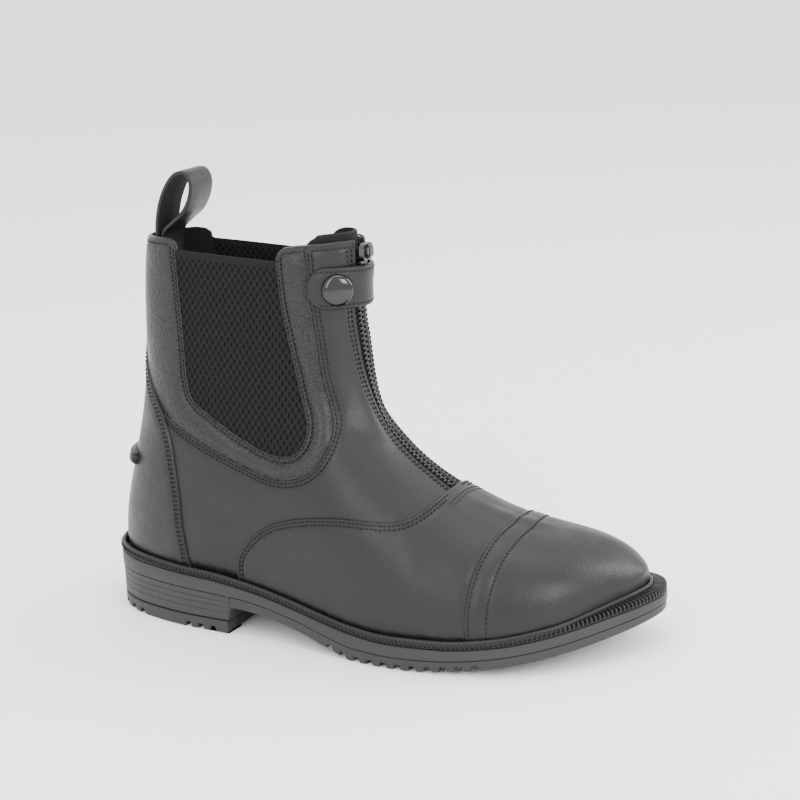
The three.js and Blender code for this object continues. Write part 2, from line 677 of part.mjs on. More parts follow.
// domed snap cap
const snapPoint = skinPoint(168.9, Math.atan2(-12.6, 136.2 - AXIS_X));
const snapAt = surfaceFrame(snapPoint);
const snapBase = strapHigh(snapPoint.p) + GAP;
// columns: radius, height of the snap cap
const SNAP_PROFILE = [
  [0, 3.4], [2.4, 3.3], [4.4, 2.9], [5.9, 2.1], [6.7, 1.1], [7.1, 1], [7.5, 0.7], [7.5, 0.1],
  [7.2, 0],
];
function revolve(profile, scale, place, count = 28) {
  const verts = [];
  const tris = [];
  const rows = profile.slice(1);
  verts.push(...place(0, 0, profile[0][1]));
  rows.forEach(([r, h]) => {
    for (let j = 0; j < count; j += 1) {
      const a = (2 * Math.PI * j) / count;
      verts.push(...place(r * scale * Math.cos(a), r * scale * Math.sin(a), h));
    }
  });
  verts.push(...place(0, 0, rows[rows.length - 1][1]));
  const end = verts.length / 3 - 1;
  for (let j = 0; j < count; j += 1) {
    const k = (j + 1) % count;
    tris.push(0, 1 + j, 1 + k);
    for (let i = 0; i < rows.length - 1; i += 1) {
      const a = 1 + i * count;
      const b = a + count;
      tris.push(a + j, b + j, b + k, a + j, b + k, a + k);
    }
    const l = 1 + (rows.length - 1) * count;
    tris.push(end, l + k, l + j);
  }
  return solid(verts, tris);
}
const snapSolid = revolve(SNAP_PROFILE, SNAP_DIAMETER / 15, (u, v, w) => snapAt(u, v, w + snapBase));

// Pull loop at the back
const loopPoints = smoothLine(LOOP_LINE, 44);
const loopOuter = offsetLine(loopPoints, LOOP_THICK / 2);
const loopInner = offsetLine(loopPoints, -LOOP_THICK / 2);
const loopShape = [...loopOuter, ...loopInner.reverse()];
const loopSolid = prism(loopShape, -LOOP_WIDTH / 2, LOOP_WIDTH / 2, sidePlace);

// Spur rest on the back seam
const SPUR_Z = 77.6;
const spurLow = overlayHigh + GAP;
const spurRegion = across([
  [-10, SPUR_Z - 4.2], [20, SPUR_Z - 4.2], [24, SPUR_Z - 2.6], [25, SPUR_Z],
  [24, SPUR_Z + 2.6], [20, SPUR_Z + 4.2], [-10, SPUR_Z + 4.2],
]);
const spurLift = (p) => spurLow + 0.9 + 2.1 * (1 - smooth(1.4, 4.2, Math.abs(p.z - SPUR_Z)));
const spurSolid = lastBody(spurLift).subtract(lastBody(spurLow)).intersect(spurRegion);

// Materials
const leather = { color: 0x1d1d1e, roughness: 0.5 };
const rubber = { color: 0x151516, roughness: 0.7 };
const cloth = { color: 0x0c0c0d, roughness: 0.95 };
const metal = { color: 0x2b2b2e, roughness: 0.3, metalness: 0.8 };
const gloss = { color: 0x050506, roughness: 0.08 };

const boot = new THREE.Group();
boot.name = 'boot';
function addPart(name, m, look) {
  const mesh = m.getMesh();
  const geometry = new THREE.BufferGeometry();
  const place = new THREE.BufferAttribute(new Float32Array(mesh.vertProperties), 3);
  geometry.setAttribute('position', place);
  geometry.setIndex(new THREE.BufferAttribute(new Uint32Array(mesh.triVerts), 1));
  geometry.computeVertexNormals();
  const node = new THREE.Mesh(geometry, new THREE.MeshStandardMaterial(look));
  node.name = name;
  node.position.x = -ORIGIN_X;
  boot.add(node);
}

addPart('upper', upperSolid, leather);
addPart('vamp', vampSolid, leather);
addPart('toe_cap', capSolid, leather);
addPart('heel_counter', counterSolid, leather);
addPart('gusset_outer', gussetOuter, cloth);
addPart('gusset_inner', gussetInner, cloth);
addPart('outsole', soleSolid, rubber);
addPart('heel_lift', liftSolid, rubber);
addPart('welt', weltSolid, rubber);
addPart('insole', insoleSolid, cloth);
addPart('zip_chain', zipSolid, metal);
addPart('zip_slider', sliderSolid, metal);
addPart('zip_pull', pullSolid, metal);
addPart('inner_flap', flapSolid, cloth);
addPart('snap_strap', strapSolid, leather);
addPart('snap_cap', snapSolid, gloss);
addPart('pull_loop', loopSolid, leather);
addPart('spur_rest', spurSolid, leather);

export default boot;
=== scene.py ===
"""Ankle boot with a front zip and elastic side panels, dressed round its solid frame.

Lengths in the tables are millimetres, X from the back edge of the heel to the toe, Y to the
inner side of the foot, Z up. The frame's origin is the middle of the heel's tread.
"""
import math

import bpy
import numpy as np
from mathutils import Matrix, Vector
from mathutils.bvhtree import BVHTree


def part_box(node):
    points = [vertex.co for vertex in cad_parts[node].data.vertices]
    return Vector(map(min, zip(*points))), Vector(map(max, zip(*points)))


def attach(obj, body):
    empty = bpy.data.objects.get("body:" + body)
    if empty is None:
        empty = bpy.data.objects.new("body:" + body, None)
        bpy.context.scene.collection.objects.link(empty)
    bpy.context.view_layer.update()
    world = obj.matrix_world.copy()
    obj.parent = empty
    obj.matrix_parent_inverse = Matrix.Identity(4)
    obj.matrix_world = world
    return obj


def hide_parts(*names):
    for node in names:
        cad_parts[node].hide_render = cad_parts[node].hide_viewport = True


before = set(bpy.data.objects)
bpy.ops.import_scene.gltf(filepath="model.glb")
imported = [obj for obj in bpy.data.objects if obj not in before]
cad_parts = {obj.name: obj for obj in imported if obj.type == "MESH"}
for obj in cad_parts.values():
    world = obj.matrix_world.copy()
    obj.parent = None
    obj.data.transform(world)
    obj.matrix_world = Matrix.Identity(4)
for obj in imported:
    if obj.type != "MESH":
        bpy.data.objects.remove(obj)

bl_info = {
    "name": "Zip Ankle Boot",
    "version": (1, 0, 0),
    "blender": (4, 5, 0),
    "location": "3D View > Sidebar > Boot",
    "description": "Builds the leather, sole, zip and stitching of an ankle boot",
    "category": "Object",
}

ORIGIN_X = 40.0
MM = 0.001
SOLE_LENGTH = 280.0
TOE_SPRING = 16.8
BALL_X = 172.0
SPRING_POWER = 1.8
HEEL_BREAST_X = 80.0
HEEL_LIFT_HEIGHT = 6.5
WELT_LEDGE = 4.2
WALL = 2.2
QUARTER_RISE = 1.1
OVERLAY_LOW = 1.4
OVERLAY_HIGH = 2.6
CAP_HIGH = 3.0
STRAP_LOW_Z = 159.6
STRAP_HEIGHT = 19.6
STRAP_END_X = 122.8

# columns: distance from heel, outer edge, inner edge of the sole seen from above
SOLE_EDGE = [
    (0.3, -4.1, 4.5), (6.9, -18.9, 18.5), (19.9, -28.5, 28), (35.4, -33.6, 32.4),
    (51.3, -36.7, 34), (67.5, -38.1, 33.9), (83.7, -38.7, 32.2), (100, -39.5, 30.4),
    (116.1, -41.6, 29.6), (132.1, -44.2, 30.6), (148.1, -46.6, 34), (164.2, -48.4, 39.8),
    (180.4, -48.6, 46), (196.6, -46.6, 51), (212.7, -43.2, 54.6), (228.6, -37.7, 56.4),
    (243.3, -28.9, 56), (255.9, -17.6, 53), (266.7, -4.6, 47.4), (275.5, 9, 38.6),
]
# columns: distance from heel, height of the sole's upper face, height of its waist underside
SOLE_LEVEL = [
    (0, 29, 0), (30, 28.2, 0), (70, 26.8, 13.4), (84, 25.2, 13.4), (118, 19.6, 9),
    (138, 15.8, 3.4), (152, 13.6, 0), (170, 12.2, 0), (196, 12.2, 0), (218, 13.9, 0),
    (245, 18.4, 0), (265, 22.8, 0), (280, 25.4, 0),
]
# columns: height, back of the shaft, front of the shaft, half width, roundness back and front
SHAFT = [
    (5, 14, 112, 25, 2.2, 2.1), (30, 9.6, 122, 28, 2.2, 2.1), (45, 9.2, 130, 30, 2.2, 2.1),
    (60, 11.2, 136, 31.2, 2.2, 2.1), (75, 14.2, 140, 31.4, 2.2, 2.1),
    (90, 18, 142, 31, 2.25, 2.15), (105, 22, 143, 30, 2.35, 2.2),
    (125, 25.2, 142.4, 27.6, 2.6, 2.4), (150, 26, 141.4, 23.4, 3, 2.6),
    (190, 27, 142, 18, 3.3, 2.8), (225, 28, 143, 15, 3.4, 2.8),
]
# columns: distance from heel, top of the foot, ridge offset, rounding width, side bulge
FOOT_TOP = [
    (0, 70, 0, 30, 0.6), (60, 112, 0, 31, 0.8), (100, 122, 1, 31, 1), (130, 113, 2, 33, 1.2),
    (150, 100, 4, 36, 1.4), (166, 86.6, 6, 39, 1.6), (183, 73.8, 8, 41, 1.8),
    (203, 61.6, 10, 40, 1.8), (220, 55.2, 12, 37, 1.6), (240, 50.4, 15, 34, 1.4),
    (255, 46.4, 18, 30, 1.2), (270, 41.6, 21, 27, 1), (285, 39, 22, 26, 1),
]
# columns: distance along the boot, height, of the panels' edges seen from the side
GUSSET_EDGE = [
    (50.2, 206), (50.8, 185), (53, 165), (56, 142), (58, 125), (61, 115), (73, 107),
    (88, 98.6), (101, 93.2), (111, 91.6), (118.4, 93.8), (122.6, 99.4), (123, 106),
    (119.6, 117), (116.4, 130), (112.6, 145.4), (108.8, 161), (106.8, 174), (106, 182),
    (105.4, 206),
]
BAND_EDGE = [
    (120.6, 206), (121, 189), (122.2, 176), (124, 162), (126.2, 145), (129, 127), (132.8, 114),
    (135.4, 105.4), (135, 97.4), (131.2, 89.6), (125.4, 84.4), (117, 81.2), (106.6, 80.4),
    (93, 84), (78, 89.4), (62, 96), (47, 103), (33, 111), (8, 128),
]
COUNTER_EDGE = [
    (27.4, 141), (29.4, 130), (34, 118.6), (43.6, 104.6), (48.8, 92.4), (51.6, 80), (53.8, 68),
    (55.4, 50), (58, 33), (60.4, 14),
]
VAMP_EDGE = [
    (87, 8), (86, 30), (86.8, 39.6), (93, 49), (104, 57.6), (116, 62.2), (131, 65.4),
    (145, 66.6), (159, 66.2), (170, 66), (177, 67.4), (181.6, 70.6), (184.6, 75), (186, 81),
    (186.4, 92),
]
# columns: distance across the foot, distance along it, of the cap's rear edge from above
CAP_EDGE = [
    (-70, 201), (-52, 204.5), (-43, 206.4), (-33, 208.2), (-22, 210), (-10, 211.4), (4, 212.4),
    (16, 212), (28, 210.2), (40, 207.2), (52, 203.8), (62, 200.6), (80, 196),
]
COLLAR_LINE = [
    (-20, 189), (30, 189), (43, 189.8), (47.6, 189.2), (50.4, 187.4), (51.6, 185), (80, 183.4),
    (106, 182), (107.4, 185.6), (110.4, 188), (116, 189), (124, 189.6), (136, 190.6),
    (148, 190.4), (190, 190),
]
LOOP_LINE = [
    (35.4, 172), (35.4, 184), (35.6, 190), (36.4, 197), (38.8, 205.6), (43.6, 214.4),
    (49, 219.2), (54, 219.2), (56.4, 215.4), (55.6, 208.6), (51.4, 201), (44.6, 195.4),
    (39.8, 191.2), (38.1, 186), (38, 180), (38, 172),
]
FLAP_EDGE = [
    (124, 138), (119.6, 160), (118.6, 182), (120, 188), (123.4, 191.6), (129, 193.6),
    (136, 194.2), (150, 193.4), (190, 193), (190, 76), (166, 76), (142, 100),
]
# columns: start x, y, z, end x, y, z, depth, half width of the leather's main creases
CREASES = [
    (182, -16, 68, 190, -38, 46, 0.3, 6.0), (182, 24, 66, 190, 42, 46, 0.3, 6.0),
    (64, -34, 64, 90, -38, 58, 0.35, 7.0), (24, -20, 98, 42, -29, 88, 0.3, 6.0),
]


def clamp(value, low, high):
    return np.minimum(high, np.maximum(low, value))


def smooth(a, b, t):
    s = clamp((t - a) / (b - a), 0.0, 1.0)
    return s * s * (3 - 2 * s)


def mix(a, b, t):
    return a + (b - a) * t


def column(table, index):
    """Monotone cubic through a table's first column, going straight on beyond its ends."""
    x = np.array([row[0] for row in table], float)
    y = np.array([row[index] for row in table], float)
    slope = np.diff(y) / np.diff(x)
    a, b = slope[:-1], slope[1:]
    total = np.where(a + b == 0, 1, a + b)
    m = np.concatenate([[slope[0]], np.where(a * b <= 0, 0, 2 * a * b / total), [slope[-1]]])

    def value(t):
        t = np.asarray(t, float)
        i = np.clip(np.searchsorted(x, t, side="right") - 1, 0, len(x) - 2)
        h = x[i + 1] - x[i]
        s = (t - x[i]) / h
        curve = (y[i] * (2 * s**3 - 3 * s**2 + 1) + m[i] * h * (s**3 - 2 * s**2 + s)
                 + y[i + 1] * (3 * s**2 - 2 * s**3) + m[i + 1] * h * (s**3 - s**2))
        low = y[0] + m[0] * (t - x[0])
        high = y[-1] + m[-1] * (t - x[-1])
        return np.where(t <= x[0], low, np.where(t >= x[-1], high, curve))
    return value


def spline(points, count, closed=False):
    """Centripetal curve through points, sampled at equal lengths."""
    p = np.asarray(points, float)
    n = len(p)
    spans = n if closed else n - 1
    dense = []
    for i in range(spans):
        if closed:
            q = [p[(i + k) % n] for k in (-1, 0, 1, 2)]
        else:
            first = p[i - 1] if i > 0 else 2 * p[0] - p[1]
            last = p[i + 2] if i + 2 < n else 2 * p[-1] - p[-2]
            q = [first, p[i], p[i + 1], last]
        d = [max(math.sqrt(np.linalg.norm(q[k + 1] - q[k])), 1e-4) for k in range(3)]
        m1 = ((q[1] - q[0]) / d[0] - (q[2] - q[0]) / (d[0] + d[1]) + (q[2] - q[1]) / d[1]) * d[1]
        m2 = ((q[2] - q[1]) / d[1] - (q[3] - q[1]) / (d[1] + d[2]) + (q[3] - q[2]) / d[2]) * d[1]
        t = np.linspace(0, 1, 24, endpoint=False)[:, None]
        dense.append((2 * t**3 - 3 * t**2 + 1) * q[1] + (t**3 - 2 * t**2 + t) * m1
                     + (3 * t**2 - 2 * t**3) * q[2] + (t**3 - t**2) * m2)
    dense = np.vstack(dense + [p[:1] if closed else p[-1:]])
    return resample(dense, count, closed)


def resample(line, count, closed=False):
    step = np.linalg.norm(np.diff(line, axis=0), axis=1)
    along = np.concatenate([[0], np.cumsum(step)])
    at = np.linspace(0, along[-1], count, endpoint=not closed)
    return np.stack([np.interp(at, along, line[:, k]) for k in range(line.shape[1])], axis=1)


def polygon_distance(px, py, outline):
    """Signed distance to a closed outline, positive inside."""
    a = np.asarray(outline, float)
    b = np.roll(a, -1, axis=0)
    best = np.full(np.shape(px), 1e9)
    inside = np.zeros(np.shape(px), bool)
    for (ax, ay), (bx, by) in zip(a, b):
        dx, dy = bx - ax, by - ay
        t = clamp(((px - ax) * dx + (py - ay) * dy) / max(dx * dx + dy * dy, 1e-12), 0, 1)
        best = np.minimum(best, (px - ax - t * dx) ** 2 + (py - ay - t * dy) ** 2)
        if dy != 0:
            inside ^= ((ay > py) != (by > py)) & (px < ax + (py - ay) / dy * dx)
    return np.where(inside, 1, -1) * np.sqrt(best)


def offset_line(points, distance):
    """A flat line moved to its left by a distance."""
    p = np.asarray(points, float)
    t = np.gradient(p, axis=0)
    t /= np.linalg.norm(t, axis=1)[:, None]
    return p + np.stack([-t[:, 1], t[:, 0]], axis=1) * distance


sole_top = column(SOLE_LEVEL, 1)
waist_level = column(SOLE_LEVEL, 2)
shaft_columns = [column(SHAFT, k) for k in range(1, 6)]
foot_columns = [column(FOOT_TOP, k) for k in range(1, 5)]
_outer = [(r[0], r[1]) for r in SOLE_EDGE]
_inner = [(r[0], r[2]) for r in SOLE_EDGE][::-1]
SOLE_POINTS = _outer + [(SOLE_LENGTH, 23.5)] + _inner
MAP_STEP = 1.0
MAP_X = np.arange(-60, 345, MAP_STEP)
MAP_Y = np.arange(-160, 165, MAP_STEP)


def spring_at(x):
    along = clamp((x - BALL_X) / (SOLE_LENGTH - BALL_X), 0, 1.2)
    return TOE_SPRING * along ** SPRING_POWER


def under_sole(x):
    return np.maximum(waist_level(x), spring_at(x))


def edge_map():
    gx, gy = np.meshgrid(MAP_X, MAP_Y, indexing="ij")
    return -polygon_distance(gx, gy, spline(SOLE_POINTS, 220, True))


EDGE_MAP = edge_map()


def edge_distance(x, y):
    """Distance to the sole's outline, negative inside, read from the map."""
    u = clamp((x - MAP_X[0]) / MAP_STEP, 0, len(MAP_X) - 1.001)
    v = clamp((y - MAP_Y[0]) / MAP_STEP, 0, len(MAP_Y) - 1.001)
    i, j = u.astype(int), v.astype(int)
    fu, fv = u - i, v - j
    return ((EDGE_MAP[i, j] * (1 - fu) + EDGE_MAP[i + 1, j] * fu) * (1 - fv)
            + (EDGE_MAP[i, j + 1] * (1 - fu) + EDGE_MAP[i + 1, j + 1] * fu) * fv)


def ledge_extra(x):
    return (1.4 * (1 - smooth(20, 60, x)) + 1.2 * smooth(200, 250, x)
            + 6.2 * smooth(240, 272, x))


def foot_field(x, y, z):
    top_at, ridge_at, round_at, bulge_at = foot_columns
    g = edge_distance(x, y) + WELT_LEDGE + ledge_extra(x)
    base = sole_top(x) + 9
    side = (y - ridge_at(x)) / 45
    fore = smooth(140, 185, x)
    fall = mix(1.5, np.where(side > 0, 9.0, 1.5), fore)
    top = top_at(x) + 3 * (1 - fore) * side - fall * side * side
    low = g + bulge_at(x) * ((base - z) / 20) ** 2 * 2
    b = clamp((z - base) / (top - base), 0, 1.6)
    r = round_at(x)
    over = g + r + (b - 1) * 60
    wall = g + r * (1 - (1 - clamp(b, 0, 1) ** 2.1) ** (1 / 2.35))
    return np.where(z < base, low, np.where(b >= 1, over, wall))


def shaft_field(x, y, z):
    back, front, half, back_power, front_power = [c(z) for c in shaft_columns]
    u = (x - (back + front) / 2) / ((front - back) / 2)
    v = y / half
    n = np.where(u < 0, back_power, front_power)
    au, av = np.abs(u), np.abs(v)
    r = (au**n + av**n) ** (1 / n)
    return (r - 1) * mix(half, (front - back) / 2, au / (au + av + 1e-6))


def last_field(x, y, z):
    """The foot's form: foot and shaft melted together, softer in front than behind."""
    k = mix(7, 34, smooth(90, 150, x))
    a, b = foot_field(x, y, z), shaft_field(x, y, z)
    h = clamp(0.5 + 0.5 * (b - a) / k, 0, 1)
    return np.maximum(mix(b, a, h) - k * h * (1 - h), sole_top(x) - 20 - z)


PIVOT_X, PIVOT_Z = 200.0, 222.0
AROUND = 148
UPRIGHT = 64
TURNING = 130
SOFTENING = 14
CENTRING = 24


def build_form():
    """Points, normals and triangles of the form on a fan of section planes."""
    probe = np.arange(SOLE_LENGTH, 250, -0.05)
    depth = last_field(probe, foot_columns[1](probe), sole_top(probe) + 6)
    toe_end = probe[np.argmax(depth < -0.1)]
    t = np.arange(UPRIGHT) / UPRIGHT
    xs = np.concatenate([toe_end - (toe_end - PIVOT_X) * t**1.7,
                         np.full(TURNING, PIVOT_X)])
    turns = np.radians(np.concatenate([np.full(UPRIGHT, 90.0),
                                       90 - 87 * np.arange(TURNING) / (TURNING - 1)]))
    dx, dz = -np.cos(turns), -np.sin(turns)
    s = np.arange(0, 330, 0.5)
    px = xs[:, None] + dx[:, None] * s
    pz = PIVOT_Z + dz[:, None] * s
    ridge = foot_columns[1](px)
    py = np.where(px > 200, ridge, ridge * smooth(110, 200, px))
    inside = last_field(px, py, pz) < 0
    first = s[np.argmax(inside, axis=1)]
    last = s[len(s) - 1 - np.argmax(inside[:, ::-1], axis=1)]
    middle = (first + last) / 2
    for _ in range(CENTRING):
        middle[1:-1] = (middle[:-2] + 2 * middle[1:-1] + middle[2:]) / 4
    cx, cz = xs + dx * middle, PIVOT_Z + dz * middle
    cy = foot_columns[1](cx) * smooth(110, 200, cx)
    a = 2 * np.pi * np.arange(AROUND) / AROUND
    spread = 0.66
    length = np.hypot(np.cos(a), spread * np.sin(a))
    up, out = np.cos(a) / length, spread * np.sin(a) / length
    d = np.stack([-dx[:, None] * up, np.broadcast_to(out, (len(xs), AROUND)),
                  -dz[:, None] * up], axis=2)
    c = np.stack([cx, cy, cz], axis=1)[:, None, :]
    low, high = np.zeros(d.shape[:2]), np.full(d.shape[:2], 150.0)
    for _ in range(20):
        m = (low + high) / 2
        p = c + d * m[..., None]
        within = last_field(p[..., 0], p[..., 1], p[..., 2]) < 0
        low, high = np.where(within, m, low), np.where(within, high, m)
    for _ in range(SOFTENING):
        around = (np.roll(low, 1, axis=1) + 2 * low + np.roll(low, -1, axis=1)) / 4
        low = around.copy()
        low[1:-1] = (around[:-2] + 2 * around[1:-1] + around[2:]) / 4
    p = (c + d * low[..., None]).reshape(-1, 3)
    rows = len(xs)
    i, j = np.meshgrid(np.arange(rows - 1), np.arange(AROUND), indexing="ij")
    k = (j + 1) % AROUND
    q = np.stack([i * AROUND + j, i * AROUND + k, (i + 1) * AROUND + k, (i + 1) * AROUND + j],
                 axis=-1).reshape(-1, 4)
    tris = np.vstack([q[:, [0, 1, 2]], q[:, [0, 2, 3]]])
    tip = np.array([[0, (n + 1) % AROUND, n] for n in range(1, AROUND - 1)])
    tris = np.vstack([tris, tip])
    return p, corner_normals(p, tris), tris


def corner_normals(p, tris):
    """Normals at the points from the triangles' areas, which are turned to face outwards."""
    face = np.cross(p[tris[:, 1]] - p[tris[:, 0]], p[tris[:, 2]] - p[tris[:, 0]])
    flip = np.einsum("ij,ij->i", face, surface_normal(p[tris].mean(axis=1))) < 0
    tris[flip] = tris[flip][:, ::-1]
    face[flip] *= -1
    n = np.zeros_like(p)
    for k in range(3):
        np.add.at(n, tris[:, k], face)
    return n / np.maximum(np.linalg.norm(n, axis=1), 1e-9)[:, None]


def surface_normal(p):
    e = 0.6
    n = np.stack([
        last_field(p[:, 0] + e, p[:, 1], p[:, 2]) - last_field(p[:, 0] - e, p[:, 1], p[:, 2]),
        last_field(p[:, 0], p[:, 1] + e, p[:, 2]) - last_field(p[:, 0], p[:, 1] - e, p[:, 2]),
        last_field(p[:, 0], p[:, 1], p[:, 2] + e) - last_field(p[:, 0], p[:, 1], p[:, 2] - e),
    ], axis=1)
    return n / np.maximum(np.linalg.norm(n, axis=1), 1e-9)[:, None]


FORM_P, FORM_N, FORM_T = build_form()
FORM_TREE = BVHTree.FromPolygons(FORM_P.tolist(), FORM_T.tolist())


def crease(p):
    """Soft troughs with a low ridge on each side, in millimetres along the normal."""
    total = np.zeros(len(p))
    for ax, ay, az, bx, by, bz, depth, width in CREASES:
        a, b = np.array([ax, ay, az], float), np.array([bx, by, bz], float)
        t = (p - a) @ (b - a) / ((b - a) @ (b - a))
        near = a + clamp(t, 0, 1)[:, None] * (b - a)
        d = np.linalg.norm(p - near, axis=1)
        fade = np.exp(-((clamp(np.abs(t - 0.5) - 0.3, 0, 9) / 0.28) ** 2))
        total += fade * depth * (0.45 * np.exp(-(((d - 1.9 * width) / width) ** 2))
                                 - np.exp(-((d / width) ** 2)))
    return total


def split(p, n, tris, measure, level):
    """Cuts triangles along the line where measure equals level, keeping both sides."""
    value = measure(p) - level
    value = np.where(np.abs(value) < 1e-4, 1e-4, value)
    side = value[tris] > 0
    count = side.sum(axis=1)
    crossing = (count == 1) | (count == 2)
    keep = tris[~crossing]
    cut = tris[crossing]
    if not len(cut):
        return p, n, tris
    lone_side = count[crossing] == 1
    lone = np.argmax(side[crossing] == lone_side[:, None], axis=1)
    r = np.arange(len(cut))
    a, b, c = cut[r, lone], cut[r, (lone + 1) % 3], cut[r, (lone + 2) % 3]
    ends = np.vstack([np.sort(np.stack([a, b], 1), axis=1), np.sort(np.stack([a, c], 1), axis=1)])
    unique, index = np.unique(ends, axis=0, return_inverse=True)
    index = index.reshape(-1)
    va, vb = value[unique[:, 0]], value[unique[:, 1]]
    t = (va / (va - vb))[:, None]
    new_p = p[unique[:, 0]] * (1 - t) + p[unique[:, 1]] * t
    new_n = n[unique[:, 0]] * (1 - t) + n[unique[:, 1]] * t
    new_n /= np.linalg.norm(new_n, axis=1)[:, None]
    ab, ac = len(p) + index[:len(cut)], len(p) + index[len(cut):]
    tris = np.vstack([keep, np.stack([a, ab, ac], 1), np.stack([ab, b, c], 1),
                      np.stack([ab, c, ac], 1)])
    return np.vstack([p, new_p]), np.vstack([n, new_n]), tris


def panel(region, low, high, levels=(0.2, 0.6, 1.1), rounding=1.1, relief=None):
    """Closed piece of the form inside a region, its outer edge rounded down to low.

    low and high are heights above the form: numbers or functions of the points.
    """
    p, n, tris = FORM_P, FORM_N, FORM_T
    d = region(p)
    tris = tris[(d[tris] > -6).any(axis=1)]
    for level in (0.0,) + tuple(levels):
        p, n, tris = split(p, n, tris, region, level)
    d = region(p)
    tris = tris[d[tris].mean(axis=1) > 0]
    used, inverse = np.unique(tris, return_inverse=True)
    tris = inverse.reshape(-1, 3)
    p, n, d = p[used], n[used], np.maximum(d[used], 0)
    low_at = low(p) if callable(low) else np.full(len(p), float(low))
    high_at = high(p) if callable(high) else np.full(len(p), float(high))
    share = np.sqrt(np.maximum(0, 1 - (1 - np.minimum(d / rounding, 1)) ** 2))
    bend = crease(p)
    height = low_at + (high_at - low_at) * (0.15 + 0.85 * share) + bend
    if relief is not None:
        height += relief(p, d)
    outer = p + n * height[:, None]
    inner = p + n * (low_at + bend)[:, None]
    count = len(p)
    edges = np.vstack([tris[:, [0, 1]], tris[:, [1, 2]], tris[:, [2, 0]]])
    key = np.sort(edges, axis=1)
    _, index, times = np.unique(key, axis=0, return_index=True, return_counts=True)
    rim = edges[index[times == 1]]
    walls = np.vstack([np.stack([rim[:, 1], rim[:, 0], rim[:, 0] + count], 1),
                       np.stack([rim[:, 1], rim[:, 0] + count, rim[:, 1] + count], 1)])
    faces = np.vstack([tris, tris[:, ::-1] + count, walls])
    kind = np.concatenate([np.zeros(len(tris)), np.ones(len(tris)), np.zeros(len(walls))])
    return np.vstack([outer, inner]), faces, kind.astype(int)


def to_metres(p):
    q = np.asarray(p, float) * MM
    q[:, 0] -= ORIGIN_X * MM
    return q


def make(name, verts, faces, materials, nodes=(), kind=None, sharp=40, uv=None):
    """A mesh piece from millimetre points, riding on the boot's one body."""
    mesh = bpy.data.meshes.new(name)
    mesh.from_pydata(to_metres(verts).tolist(), [], [list(map(int, f)) for f in faces])
    for material in materials:
        mesh.materials.append(material)
    if kind is not None:
        mesh.polygons.foreach_set("material_index", np.asarray(kind, dtype=np.int32))
    mesh.polygons.foreach_set("use_smooth", np.ones(len(mesh.polygons), dtype=bool))
    mesh.validate()
    mesh.update()
    mesh.set_sharp_from_angle(angle=math.radians(sharp))
    if uv is not None:
        layer = mesh.uv_layers.new(name="UVMap")
        index = np.empty(len(mesh.loops), dtype=np.int32)
        mesh.loops.foreach_get("vertex_index", index)
        layer.data.foreach_set("uv", uv[index].astype(np.float32).reshape(-1))
    obj = bpy.data.objects.new(name, mesh)
    bpy.context.scene.collection.objects.link(obj)
    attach(obj, "root")
    if nodes:
        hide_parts(*nodes)
    return obj


def side_cast(line, sign):
    """Form points and normals where a side view line meets the outer (-1) or inner (1) side."""
    hits = []
    for x, z in line:
        where, normal, _, _ = FORM_TREE.ray_cast(Vector((x, 140 * sign, z)), Vector((0, -sign, 0)))
        if where is not None and where.y * sign > 0.5:
            hits.append((where, normal))
    return hits


def plan_cast(line):
    """Form points and normals under a plan view line."""
    hits = []
    for x, y in line:
        where, normal, _, _ = FORM_TREE.ray_cast(Vector((x, y, 300)), Vector((0, 0, -1)))
        if where is not None:
            hits.append((where, normal))
    return hits


def front_cast(across, low, high, step=0.8):
    """Form points and normals down the front, across millimetres from the zip's middle."""
    hits = []
    for z in np.arange(high, low, -step):
        y = across
        for _ in range(3):
            where, normal, _, _ = FORM_TREE.ray_cast(Vector((330, y, z)), Vector((-1, 0, 0)))
            if where is None:
                break
            y = across + float(zip_middle(where.x))
        if where is not None:
            hits.append((where, normal))
    return hits


def zip_middle(x):
    return np.interp(x, [142, 160, 181], [0, 2.2, 3.2])


def arrays(hits):
    """Points and soft normals of a row of hits."""
    p = np.array([list(h[0]) for h in hits])
    n = np.array([list(h[1]) for h in hits])
    if len(n) > 4:
        wide = np.pad(n, ((2, 2), (0, 0)), mode="edge")
        n = sum(wide[k:k + len(n)] for k in range(5))
    return p, n / np.linalg.norm(n, axis=1)[:, None]


def stitch_template(length, width, sides=8):
    """One stitch along X: a rounded bar that dips at both ends."""
    t = np.array([-0.5, -0.42, -0.28, 0.0, 0.28, 0.42, 0.5])
    r = np.array([0.25, 0.75, 1.0, 1.06, 1.0, 0.75, 0.25]) * width / 2
    dip = np.array([-0.28, -0.1, 0.05, 0.1, 0.05, -0.1, -0.28]) * width
    a = 2 * np.pi * np.arange(sides) / sides
    verts = np.array([[ti * length, ri * math.cos(x), ri * math.sin(x) + di]
                      for ti, ri, di in zip(t, r, dip) for x in a])
    faces = []
    for i in range(len(t) - 1):
        for j in range(sides):
            k = (j + 1) % sides
            faces.append([i * sides + j, i * sides + k, (i + 1) * sides + k, (i + 1) * sides + j])
    faces.append(list(range(sides))[::-1])
    faces.append([(len(t) - 1) * sides + j for j in range(sides)])
    return verts, faces


